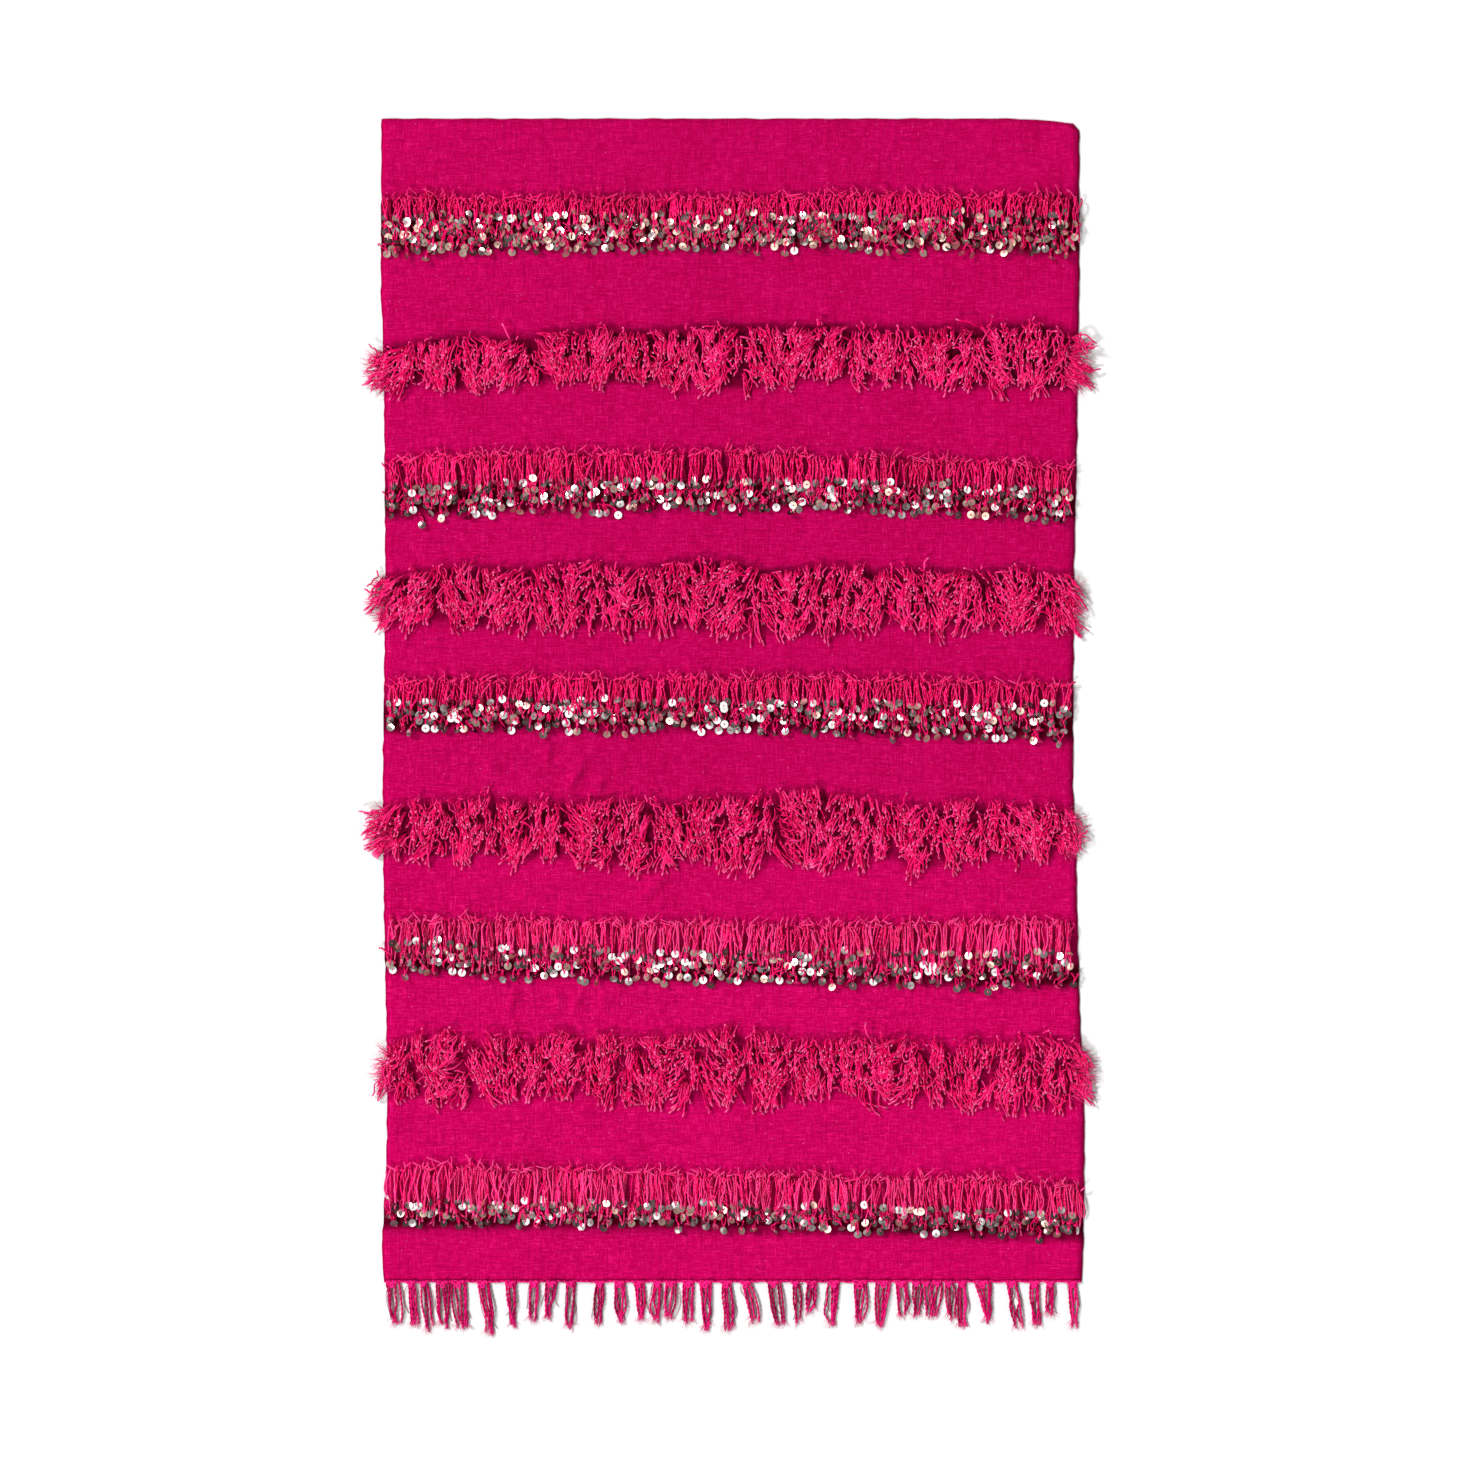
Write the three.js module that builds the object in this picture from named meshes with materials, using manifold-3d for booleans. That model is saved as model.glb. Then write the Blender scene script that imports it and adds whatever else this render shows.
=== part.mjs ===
// Handira wedding blanket, lying flat with its face up.
//
// Millimetres, +Z up. +Y runs up the blanket to its plain end, -Y down to the fringed hem.
// The origin is the middle of the cloth, on its underside.
//
// The pieces: one woven ground cloth, four rows of cut shag, five rows of yarn loops,
// five mats of sequins that lie on those loops, and the fringe along the hem.

import * as THREE from "three";
import { mergeVertices } from "three/addons/utils/BufferGeometryUtils.js";
import Module from "manifold-3d";

const wasm = await Module();
wasm.setup();

// Driving sizes

const clothThickness = 2;
const gap = 0.3; // between any two pieces
const bandFloor = clothThickness + gap; // underside of every row that lies on the cloth
const hemY = -917;
const halfWidth = 550;

// Rises above a row's own underside
const shagCrest = 15;
const shagRim = 5;
const shagRidge = 2.6; // how far its ridges and hollows stand from that
const loopCrest = 7;
const loopRim = 3.5;
const loopBed = 3; // level bed that a sequin mat lies on
const matCrest = 4.2;
const matRim = 2.9;

const sequinWidth = 14;
const knotRow = { width: 5, height: 3, twist: 0.7 }; // the twined row that the tassels leave
const strand = { width: 3.4, height: 2.6, spread: 3.6 }; // spread is between two tips

// Outline of the cloth: its two selvedges at some heights, from the plain end to the hem

const clothEdges = [
  { y: 917, left: -554, right: 545 },
  { y: 882, left: -554, right: 547 },
  { y: 631, left: -555, right: 547 },
  { y: 584, left: -551, right: 545 },
  { y: 379, left: -549, right: 543 },
  { y: 221, left: -548, right: 539 },
  { y: 95, left: -549, right: 538 },
  { y: -142, left: -552, right: 537 },
  { y: -174, left: -552, right: 541 },
  { y: -400, left: -549, right: 545 },
  { y: -552, left: -545, right: 550 },
  { y: -647, left: -545, right: 555 },
  { y: -789, left: -547, right: 555 },
  { y: -876, left: -554, right: 553 },
  { y: hemY, left: -550, right: 551 },
];
const roundedCorner = { inward: 8, down: 8 }; // the plain end's right corner

// Soft folds that stand off the surface: middle, half length, half width, turn in degrees, lift

const folds = [
  { x: -228, y: -108, length: 95, width: 34, turn: -24, lift: 4 },
  { x: -140, y: -318, length: 60, width: 26, turn: 40, lift: 3 },
  { x: -335, y: -484, length: 58, width: 26, turn: -12, lift: 3 },
  { x: 230, y: -487, length: 110, width: 26, turn: 4, lift: 2 },
  { x: 210, y: 862, length: 150, width: 48, turn: 6, lift: 2 },
  { x: -330, y: 650, length: 130, width: 44, turn: -5, lift: 2.5 },
  { x: 330, y: 646, length: 120, width: 40, turn: 7, lift: 2 },
  { x: -80, y: 437, length: 130, width: 30, turn: 3, lift: 2 },
  { x: -300, y: -696, length: 120, width: 26, turn: 5, lift: 2 },
];

// Sequin rows: where the loops start, where the sequins start and where they end

const sequinRows = [
  { loops: [789, 789, 793], sequins: [778, 778, 780], foot: [702, 714, 704] },
  { loops: [377, 390, 362], sequins: [342, 355, 332], foot: [287, 303, 283] },
  { loops: [24, 31, 20], sequins: [3, 3, -4], foot: [-50, -50, -68] },
  { loops: [-355, -364, -358], sequins: [-387, -405, -404], foot: [-429, -448, -453] },
  { loops: [-741, -755, -770], sequins: [-792, -798, -811], foot: [-836, -840, -855] },
].map(({ loops, sequins, foot }) => ({ loops: bow(loops), sequins: bow(sequins), foot: bow(foot) }));

// Shag rows: how far they reach past the cloth's sides, their two rims, and the tufts
// that stand above the upper rim or hang below the lower one

const shagRows = [
  {
    left: -583, right: 565, top: bow([558, 584, 578]), foot: bow([489, 505, 489]),
    tufts: [
      { x: -450, up: 0, down: 4 }, { x: -130, up: 0, down: 14 }, { x: 28, up: 2, down: 21 },
      { x: 240, up: -4, down: 4 }, { x: 343, up: 0, down: 10 }, { x: 480, up: 10, down: 8 },
    ],
  },
  {
    left: -578, right: 556, top: bow([202, 211, 198]), foot: bow([116, 116, 114]),
    tufts: [
      { x: -400, up: 0, down: 9 }, { x: -209, up: 0, down: 13 }, { x: -60, up: 10, down: 4 },
      { x: -15, up: 0, down: 17 }, { x: 60, up: -5, down: 14 }, { x: 154, up: 2, down: 20 },
      { x: 343, up: 0, down: 9 }, { x: 500, up: 0, down: 11 },
    ],
  },
  {
    left: -578, right: 557, top: bow([-163, -164, -173]), foot: bow([-250, -244, -248]),
    tufts: [
      { x: -383, up: 8, down: 0 }, { x: -193, up: 4, down: 22 }, { x: -114, up: 0, down: 26 },
      { x: 4, up: 10, down: 26 }, { x: 75, up: 16, down: 16 }, { x: 125, up: 26, down: 6 },
      { x: 160, up: 4, down: 18 }, { x: 288, up: 0, down: 31 }, { x: 375, up: 15, down: 8 },
    ],
  },
  {
    left: -571, right: 574, top: bow([-540, -540, -546]), foot: bow([-628, -626, -632]),
    tufts: [
      { x: -460, up: 4, down: 15 }, { x: -256, up: 14, down: 0 }, { x: -146, up: -6, down: 14 },
      { x: -75, up: 14, down: 20 }, { x: 5, up: 17, down: 4 }, { x: 45, up: 0, down: 16 },
      { x: 343, up: -3, down: 16 }, { x: 422, up: 0, down: 26 }, { x: 500, up: 4, down: 26 },
    ],
  },
];
const tuftReach = 30;

// Tassels of the fringe: place along the hem, length below it, how far the tip drifts, width

const tassels = [
  { x: -537, drop: 68, drift: 5, width: 14 },
  { x: -507, drop: 69, drift: 6, width: 12 },
  { x: -487, drop: 79, drift: 9, width: 10 },
  { x: -457, drop: 74, drift: 2, width: 16 },
  { x: -432, drop: 74, drift: 8, width: 18 },
  { x: -394, drop: 84, drift: 14, width: 15 },
  { x: -350, drop: 76, drift: 3, width: 14 },
  { x: -313, drop: 65, drift: -2, width: 13 },
  { x: -285, drop: 58, drift: -6, width: 12 },
  { x: -255, drop: 79, drift: -3, width: 12 },
  { x: -209, drop: 69, drift: 0, width: 13 },
  { x: -178, drop: 65, drift: 3, width: 14 },
  { x: -148, drop: 65, drift: 3, width: 14 },
  { x: -118, drop: 65, drift: -2, width: 12 },
  { x: -97, drop: 62, drift: -5, width: 13 },
  { x: -70, drop: 66, drift: -2, width: 15 },
  { x: -43, drop: 77, drift: 2, width: 16 },
  { x: -10, drop: 77, drift: 6, width: 16 },
  { x: 20, drop: 66, drift: 16, width: 14 },
  { x: 65, drop: 73, drift: 11, width: 13 },
  { x: 99, drop: 66, drift: 3, width: 11 },
  { x: 125, drop: 47, drift: -5, width: 15 },
  { x: 160, drop: 69, drift: -2, width: 15 },
  { x: 201, drop: 65, drift: -2, width: 20 },
  { x: 238, drop: 71, drift: -6, width: 15 },
  { x: 266, drop: 55, drift: 2, width: 14 },
  { x: 290, drop: 55, drift: 0, width: 10 },
  { x: 306, drop: 55, drift: 4, width: 10 },
  { x: 323, drop: 54, drift: -5, width: 10 },
  { x: 341, drop: 60, drift: 3, width: 11 },
  { x: 362, drop: 79, drift: 2, width: 13 },
  { x: 394, drop: 66, drift: 8, width: 17 },
  { x: 440, drop: 74, drift: 9, width: 13 },
  { x: 476, drop: 73, drift: 2, width: 14 },
  { x: 501, drop: 55, drift: 0, width: 12 },
  { x: 536, drop: 73, drift: 2, width: 14 },
];
const fullTassel = 13; // a tassel this wide has three strands, a slimmer one two

// Locks along the rims of a row: how many, and how far a root lies inside the rim and a tip past it
const footLocks = { count: 16, inside: 22, past: 5, ends: 30 };
const topLocks = { count: 5, inside: 20, past: 5, ends: 40 };
const sideLocks = { count: 3, inside: 34 };
const loopEnds = { count: 14, inside: 9, past: 7, ends: 16, width: 5.5, height: 3.6 };
const shagLock = { width: 18, height: 5 };
const shagInset = { side: 14, top: 4, foot: 7 }; // where the slab ends and its locks go on

// Grids, in cells across the blanket and down it
const clothColumns = 15;
const clothStretch = 3; // cells in each plain stretch between two rows
const shagGrid = { columns: 56, rows: 3 };
const loopColumns = 28;
const matGrid = { columns: 56, rows: 2 };
const knotColumns = 30;

// Helpers

// A smooth line across the blanket, through its heights at the left edge, middle and right edge.
function bow([left, middle, right]) {
  const tilt = (right - left) / 2;
  const sag = (left + right) / 2 - middle;
  return (x) => middle + tilt * (x / halfWidth) + sag * (x / halfWidth) ** 2;
}

// An even scatter from -1 to 1, the same in every run.
function scatter(seed) {
  const turns = Math.sin(seed * 12.9898) * 43758.5453;
  return 2 * (turns - Math.floor(turns)) - 1;
}

// The selvedges at height y, straight between the rows of clothEdges.
function edgesAt(y) {
  const next = Math.max(1, clothEdges.findIndex((row) => row.y <= y));
  const [upper, lower] = [clothEdges[next - 1], clothEdges[next]];
  const share = (upper.y - y) / (upper.y - lower.y);
  return {
    left: THREE.MathUtils.lerp(upper.left, lower.left, share),
    right: THREE.MathUtils.lerp(upper.right, lower.right, share),
  };
}

// A shape's corners joined where they meet, without the faces that have closed up to a line.
function welded(geometry) {
  geometry.deleteAttribute("normal");
  geometry.deleteAttribute("uv");
  const joined = mergeVertices(geometry, 1e-3);
  const faces = [];
  for (let i = 0; i < joined.index.count; i += 3) {
    const [a, b, c] = [0, 1, 2].map((k) => joined.index.getX(i + k));
    if (a !== b && b !== c && c !== a) faces.push(a, b, c);
  }
  joined.setIndex(faces);
  joined.computeVertexNormals();
  return joined;
}

// A closed block on a grid. point(u, v, onTop) places each corner of each cell, with
// u from 0 at the left to 1 at the right and v from 0 at the upper rim to 1 at the lower one.
// A flat underside has one row of faces, from rim to rim.
function block({ columns, rows, flatUnder = true }, point) {
  const geometry = new THREE.BoxGeometry(1, 1, 1, columns, rows, 1);
  const corners = geometry.attributes.position;
  for (let i = 0; i < corners.count; i++) {
    const onTop = corners.getZ(i) > 0;
    const u = Math.round((corners.getX(i) + 0.5) * columns) / columns;
    const line = Math.round((0.5 - corners.getY(i)) * rows) / rows;
    const v = flatUnder && !onTop ? Math.ceil(line) : line;
    const { x, y, z } = point(u, v, onTop);
    corners.setXYZ(i, x, y, z);
  }
  return welded(geometry);
}

// A lock of yarn, tapering from root to tip, with three sides: one flat on its floor and a
// ridge above. A lock with a bend has a second step, and its middle stands out sideways by that.
function lock({ root, tip, width, height, floor, bend = 0 }) {
  const geometry = new THREE.CylinderGeometry(1, 1, 1, 3, bend ? 2 : 1);
  const corners = geometry.attributes.position;
  const run = new THREE.Vector2(tip.x - root.x, tip.y - root.y);
  const side = new THREE.Vector2(-run.y, run.x).normalize();
  for (let i = 0; i < corners.count; i++) {
    const along = 0.5 - corners.getY(i);
    const size = 1 - 0.55 * along;
    const lean = Math.abs(corners.getX(i)) < 0.01 ? 0 : Math.sign(corners.getX(i));
    const ridge = lean === 0 && corners.getZ(i) > 0.5;
    const middle = lean === 0 && !ridge;
    const across = (lean * width * size) / 2 + bend * Math.sin(Math.PI * along);
    const rise = ridge ? height * size : middle ? (height * size) / 3 : 0;
    corners.setXYZ(
      i,
      root.x + run.x * along + side.x * across,
      root.y + run.y * along + side.y * across,
      floor + rise,
    );
  }
  return welded(geometry);
}

// Joins closed geometries into one solid.
function fuse(geometries) {
  const solids = geometries.map(({ attributes, index }) =>
    new wasm.Manifold(
      new wasm.Mesh({
        numProp: 3,
        vertProperties: new Float32Array(attributes.position.array),
        triVerts: new Uint32Array(index.array),
      }),
    ),
  );
  const mesh = solids.reduce((whole, solid) => whole.add(solid)).getMesh();
  const joined = new THREE.BufferGeometry();
  joined.setAttribute("position", new THREE.BufferAttribute(mesh.vertProperties, 3));
  joined.setIndex(new THREE.BufferAttribute(mesh.triVerts, 1));
  joined.computeVertexNormals();
  return joined;
}

// Ground cloth

// How far the folds lift the cloth at a place: each is a soft ridge that ends at its own oval.
function foldLift(x, y) {
  let lift = 0;
  for (const fold of folds) {
    const turn = THREE.MathUtils.degToRad(fold.turn);
    const along = ((x - fold.x) * Math.cos(turn) + (y - fold.y) * Math.sin(turn)) / fold.length;
    const across = ((y - fold.y) * Math.cos(turn) - (x - fold.x) * Math.sin(turn)) / fold.width;
    const away = Math.min(1, Math.hypot(along, across));
    lift += fold.lift * (0.5 + 0.5 * Math.cos(Math.PI * away));
  }
  return lift;
}

// The cloth's grid lines. A plain stretch between two rows has a line at either end, and more
// between them where it holds a fold, so the cloth lies flat wherever a row is on it.
function clothLines() {
  const clear = 14; // from a row's rim to where folds may begin
  const places = [-halfWidth, 0, halfWidth];
  const zones = [
    ...sequinRows.map((row) => ({ top: row.loops, foot: row.foot })),
    ...shagRows,
  ].map(({ top, foot }) => ({
    top: Math.max(...places.map(top)) + clear,
    foot: Math.min(...places.map(foot)) - clear,
  }));
  zones.sort((a, b) => b.top - a.top);
  const lines = [];
  let from = clothEdges[0].y;
  for (const { top, foot } of [...zones, { top: hemY }]) {
    const cells = folds.some((fold) => fold.y < from && fold.y > top) ? clothStretch : 1;
    for (let i = 0; i <= cells; i++) {
      lines.push({ y: THREE.MathUtils.lerp(from, top, i / cells), loose: i > 0 && i < cells });
    }
    from = foot;
  }
  return lines;
}

function groundCloth() {
  const lines = clothLines();
  const rows = lines.length - 1;
  return block({ columns: clothColumns, rows, flatUnder: false }, (u, v, onTop) => {
    const line = lines[Math.round(v * rows)];
    const { left, right } = edgesAt(line.y);
    const atCorner = u === 1 && v === 0;
    const x = THREE.MathUtils.lerp(left, right, u) - (atCorner ? roundedCorner.inward : 0);
    const y = line.y - (atCorner ? roundedCorner.down : 0);
    const lift = line.loose ? foldLift(x, y) : 0;
    return { x, y, z: lift + (onTop ? clothThickness : 0) };
  });
}

// Shag

function tuftsAt(row, x, side) {
  return row.tufts.reduce((sum, tuft) => sum + tuft[side] * Math.exp(-(((x - tuft.x) / tuftReach) ** 2)), 0);
}

// A lumpy slab of locks lying side by side, every other column of its grid a ridge that also
// reaches further at the rims, with loose locks past them. It is rounded off at its two ends.
function shag(row, seed) {
  const topAt = (x) => row.top(x) + tuftsAt(row, x, "up");
  const footAt = (x) => row.foot(x) - tuftsAt(row, x, "down");
  const slab = block(shagGrid, (u, v, onTop) => {
    const cell = Math.round(u * shagGrid.columns);
    const line = Math.round(v * shagGrid.rows);
    const ridge = cell % 2 ? 1 : -1;
    const rough = scatter(seed + 7 * cell + 131 * line);
    const ragged = scatter(seed + 11 * cell + 57 * line);
    const endward = Math.abs(2 * u - 1) ** 24;
    const x = THREE.MathUtils.lerp(row.left + shagInset.side, row.right - shagInset.side, u);
    const top = topAt(x) - shagInset.top - 12 * endward + 1.5 * ridge;
    const foot = footAt(x) + shagInset.foot + 12 * endward - 4 * ridge;
    const y = THREE.MathUtils.lerp(top, foot, v ** 1.15) + 3 * ragged;
    const arch = Math.sin(Math.PI * v ** 0.7) ** 0.6 * (1 - 0.5 * endward);
    const uneven = (shagRidge * ridge + 1.6 * rough) * (0.3 + 0.7 * arch);
    const rise = THREE.MathUtils.lerp(shagRim, shagCrest, arch) + uneven;
    return { x: x + 2 * ragged, y, z: bandFloor + (onTop ? rise : 0) };
  });
  const locks = [];
  const addLock = (root, tip, i) => {
    const width = shagLock.width + 4 * scatter(seed + 3.1 * i);
    const height = shagLock.height + scatter(seed + 5.3 * i);
    locks.push(lock({ root, tip, width, height, floor: bandFloor }));
  };
  const placeAlong = ({ count, ends }, i) => {
    const share = (i + 0.5 + 0.25 * scatter(seed + 17 * i + ends)) / count;
    return THREE.MathUtils.lerp(row.left + ends, row.right - ends, share);
  };
  for (let i = 0; i < footLocks.count; i++) {
    const x = placeAlong(footLocks, i);
    const tipX = x + 9 * scatter(seed + 23 * i);
    const past = footLocks.past + 4 * scatter(seed + 29 * i);
    addLock({ x, y: footAt(x) + footLocks.inside }, { x: tipX, y: footAt(tipX) - past }, i);
  }
  for (let i = 0; i < topLocks.count; i++) {
    const x = placeAlong(topLocks, i);
    const tipX = x + 8 * scatter(seed + 37 * i);
    addLock({ x, y: topAt(x) - topLocks.inside }, { x: tipX, y: topAt(tipX) + topLocks.past }, i + 40);
  }
  for (const [end, outward] of [[row.left, -1], [row.right, 1]]) {
    for (let i = 0; i < sideLocks.count; i++) {
      const share = (i + 0.6) / sideLocks.count;
      const y = THREE.MathUtils.lerp(row.top(end) - 8, row.foot(end) + 8, share);
      const tipX = end - outward * (i === 1 ? 0 : 4); // the middle lock reaches furthest
      const tipY = y + 4 - 10 * share;
      addLock({ x: end - outward * sideLocks.inside, y }, { x: tipX, y: tipY }, i + 60 + outward);
    }
  }
  return fuse([slab, ...locks]);
}

// Loops

// A lumpy strip of looped yarn: arched along its upper part, then a level bed for the sequins.
function loops(row, seed) {
  const profile = [
    { rise: loopRim, uneven: 1.2 },
    { rise: loopCrest, uneven: 2 },
    { rise: loopBed, uneven: 0 },
    { rise: loopBed, uneven: 0 },
  ];
  const archAt = 0.45; // of the way from the loops' upper rim to the sequins
  const rows = profile.length - 1;
  const strip = block({ columns: loopColumns, rows }, (u, v, onTop) => {
    const line = Math.round(v * rows);
    const middle = THREE.MathUtils.lerp(-halfWidth, halfWidth, u);
    const { left, right } = edgesAt(row.loops(middle));
    const x = THREE.MathUtils.lerp(left + 2, right - 2, u);
    const lines = [
      row.loops(x),
      THREE.MathUtils.lerp(row.loops(x), row.sequins(x), archAt),
      row.sequins(x),
      row.foot(x) + 5,
    ];
    const atRim = line === 0 || line === rows;
    const rough = scatter(seed + 7 * u * loopColumns + 83 * line);
    const ragged = atRim ? 2.5 * scatter(seed + 13 * u * loopColumns + line) : 0;
    const { rise, uneven } = profile[line];
    return { x, y: lines[line] + ragged, z: bandFloor + (onTop ? rise + uneven * rough : 0) };
  });
  const ends = Array.from({ length: loopEnds.count }, (_, i) => {
    const share = (i + 0.5 + 0.3 * scatter(seed + 19 * i)) / loopEnds.count;
    const x = THREE.MathUtils.lerp(-halfWidth + loopEnds.ends, halfWidth - loopEnds.ends, share);
    const tipX = x + 5 * scatter(seed + 43 * i);
    const past = loopEnds.past + 3 * scatter(seed + 47 * i);
    const { width, height } = loopEnds;
    const root = { x, y: row.loops(x) - loopEnds.inside };
    return lock({ root, tip: { x: tipX, y: row.loops(x) + past }, width, height, floor: bandFloor });
  });
  return fuse([strip, ...ends]);
}

// Sequins

// A mat of overlapping discs on the loops' level bed. Its face is uneven like tilted discs
// and its two rims are scalloped by them.
function sequinMat(row, seed) {
  const floor = bandFloor + loopBed + gap;
  return block(matGrid, (u, v, onTop) => {
    const cell = Math.round(u * matGrid.columns);
    const line = Math.round(v * matGrid.rows);
    const middle = THREE.MathUtils.lerp(-halfWidth, halfWidth, u);
    const { left, right } = edgesAt(row.foot(middle));
    const x = THREE.MathUtils.lerp(left + 1, right - 1, u);
    const scallop = (cell % 2 ? 1 : -1) * sequinWidth * 0.18 + 2 * scatter(seed + 5 * cell);
    const start = row.sequins(x) - 3 + (line === 0 ? 0.4 * scallop : 0);
    const end = row.foot(x) + (line === matGrid.rows ? scallop : 0);
    const rough = 1.3 * scatter(seed + 7 * cell + 61 * line);
    const rise = (line === 1 ? matCrest : matRim) + rough;
    return { x, y: THREE.MathUtils.lerp(start, end, v), z: floor + (onTop ? rise : 0) };
  });
}

// Fringe

// The knotted row along the hem, with its tassels. Every strand lies on the surface.
function fringe() {
  const { left, right } = edgesAt(hemY);
  const upper = hemY - gap;
  const row = block({ columns: knotColumns, rows: 1 }, (u, v, onTop) => {
    const twist = Math.round(u * knotColumns) % 2 ? knotRow.twist : -knotRow.twist;
    const x = THREE.MathUtils.lerp(left, right, u);
    const y = v === 0 ? upper : upper - knotRow.width + twist;
    return { x, y, z: onTop ? knotRow.height + twist : 0 };
  });
  const strands = tassels.flatMap(({ x, drop, drift, width }, i) => {
    const places = width < fullTassel ? [-0.8, 0.8] : [-1, 0, 1];
    return places.map((place, k) => {
      const seed = 10 * i + k;
      const root = { x: x + (place * (width - strand.width)) / 2, y: upper - knotRow.width / 2 };
      const tipX = x + drift + place * (strand.spread + 0.8 * scatter(seed + 0.5));
      const length = drop - (k === 1 ? 0 : 7 + 6 * scatter(seed));
      const bend = k === 1 ? 1.5 * scatter(i + 0.7) : 0;
      const { width: strandWidth, height } = strand;
      return lock({ root, tip: { x: tipX, y: hemY - length }, width: strandWidth, height, floor: 0, bend });
    });
  });
  return fuse([row, ...strands]);
}

// The blanket

const wool = (color) => new THREE.MeshStandardMaterial({ color, roughness: 0.95, metalness: 0 });
const clothYarn = wool(0xc4055a);
const shagYarn = wool(0xcc1a5e);
const loopYarn = wool(0xc8185c);
const fringeYarn = wool(0xd4146a);
const sequinMetal = new THREE.MeshStandardMaterial({ color: 0xb9a99c, roughness: 0.3, metalness: 0.9 });

const blanket = new THREE.Group();

function add(name, geometry, material) {
  const mesh = new THREE.Mesh(geometry, material);
  mesh.name = name;
  blanket.add(mesh);
}

add("ground_cloth", groundCloth(), clothYarn);
shagRows.forEach((row, i) => add(`shag_${i + 1}`, shag(row, 100 * (i + 1)), shagYarn));
sequinRows.forEach((row, i) => {
  add(`loops_${i + 1}`, loops(row, 500 + 100 * i), loopYarn);
  add(`sequins_${i + 1}`, sequinMat(row, 1000 + 100 * i), sequinMetal);
});
add("fringe", fringe(), fringeYarn);

export default blanket;
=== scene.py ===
# %% [markdown]
# # Handira wedding blanket
# A handira is a woven cape or blanket with rows of shag and rows of sequins across a plain ground.
# The measured solids give every row its place, its outline and its height. This script dresses them:
# a thin woven sheet, yarn for the shag, yarn loops that carry metal sequins, and a knotted fringe.
# All lengths are in metres, with millimetre sizes written as a number times `MM`.

# %% Load the measured solids
import math

import bpy
import numpy as np
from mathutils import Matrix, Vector


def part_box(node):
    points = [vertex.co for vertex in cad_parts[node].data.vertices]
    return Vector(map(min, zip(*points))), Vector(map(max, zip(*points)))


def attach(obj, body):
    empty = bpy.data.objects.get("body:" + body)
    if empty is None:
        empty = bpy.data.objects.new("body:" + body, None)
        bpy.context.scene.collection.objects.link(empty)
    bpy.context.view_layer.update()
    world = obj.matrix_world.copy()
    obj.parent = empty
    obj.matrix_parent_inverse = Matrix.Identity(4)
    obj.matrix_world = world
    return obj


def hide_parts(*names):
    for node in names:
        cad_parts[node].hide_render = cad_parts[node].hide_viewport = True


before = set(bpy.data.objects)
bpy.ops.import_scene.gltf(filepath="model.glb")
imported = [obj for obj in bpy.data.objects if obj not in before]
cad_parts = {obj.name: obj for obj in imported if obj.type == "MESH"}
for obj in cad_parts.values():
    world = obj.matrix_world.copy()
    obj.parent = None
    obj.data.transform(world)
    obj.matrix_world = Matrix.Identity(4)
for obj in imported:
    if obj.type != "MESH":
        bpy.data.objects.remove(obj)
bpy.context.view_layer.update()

MM = 0.001
print("solids:", sorted(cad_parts))

# %% [markdown]
# ## Camera
# The blanket lies flat and the photograph looks straight down on it, with the plain end up. A long
# lens high above keeps the sides parallel. Its height follows from the frame: so many pixels, each
# of a known size on the surface, seen through this lens.

# %% Camera
FRAME_PIXELS = 1457
PIXEL_SIZE = 1.578 * MM
FRAME_MIDDLE = Vector((-6.3 * MM, -45 * MM, 0))
LENS = 85
SENSOR = 36

scene = bpy.context.scene
camera_height = FRAME_PIXELS * PIXEL_SIZE * LENS / SENSOR
camera_data = bpy.data.cameras.new("camera")
camera_data.lens = LENS
camera_data.sensor_width = SENSOR
camera = bpy.data.objects.new("camera", camera_data)
camera.location = FRAME_MIDDLE + Vector((0, 0, camera_height))
scene.collection.objects.link(camera)
scene.camera = camera
print("camera height", round(camera_height, 3))

# %% [markdown]
# ## Node helpers
# Materials and the room's light are node trees. Four small helpers keep them readable: `add` makes
# a node, sets its options and fills or links its inputs, `mixed` blends two colours by a mask,
# `remapped` moves a value to another range, and `computed` is one step of arithmetic.


# %% Node helpers
def add(tree, kind, inputs=None, **options):
    """A new node. An input that is itself a socket is linked, and any other value is set."""
    node = tree.nodes.new("ShaderNode" + kind)
    for name, value in options.items():
        setattr(node, name, value)
    for name, value in (inputs or {}).items():
        if isinstance(value, bpy.types.NodeSocket):
            tree.links.new(value, node.inputs[name])
        else:
            node.inputs[name].default_value = value
    return node


def mixed(tree, share, first, second):
    """Two colours blended by a mask, as the output socket. A mix node's colours are its inputs 6
    and 7, and its output 2."""
    return add(tree, "Mix", {0: share, 6: first, 7: second}, data_type="RGBA").outputs[2]


def remapped(tree, value, low, high, to_low=0.0, to_high=1.0):
    """A value moved from one range to another and held inside it, as the output socket."""
    ends = {"Value": value, "From Min": low, "From Max": high, "To Min": to_low, "To Max": to_high}
    return add(tree, "MapRange", ends).outputs["Result"]


def computed(tree, operation, first, second=0.0):
    """One arithmetic step, as the output socket."""
    return add(tree, "Math", {0: first, 1: second}, operation=operation).outputs[0]


# %% [markdown]
# ## Light
# The sequins are little mirrors, so the room decides how they look. Straight above is a bright
# square light, which flat discs reflect as white. A strip light stands at either side, and the rest
# of the room is dim and warm, which tilted discs show as grey or tan. Two soft suns from the left,
# one towards the plain end and one towards the hem, give the yarn its shade on both of its sides.
# Each has a bearing from +X, an elevation and an energy. The floor is plain pale paper.

# %% Room and sun
OVERHEAD = {"half": 0.26, "strength": 1.6}
STRIPS = {"middle": 0.70, "half": 0.10, "strength": 0.8}
ROOM = (0.30, 0.286, 0.280, 1)

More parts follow.
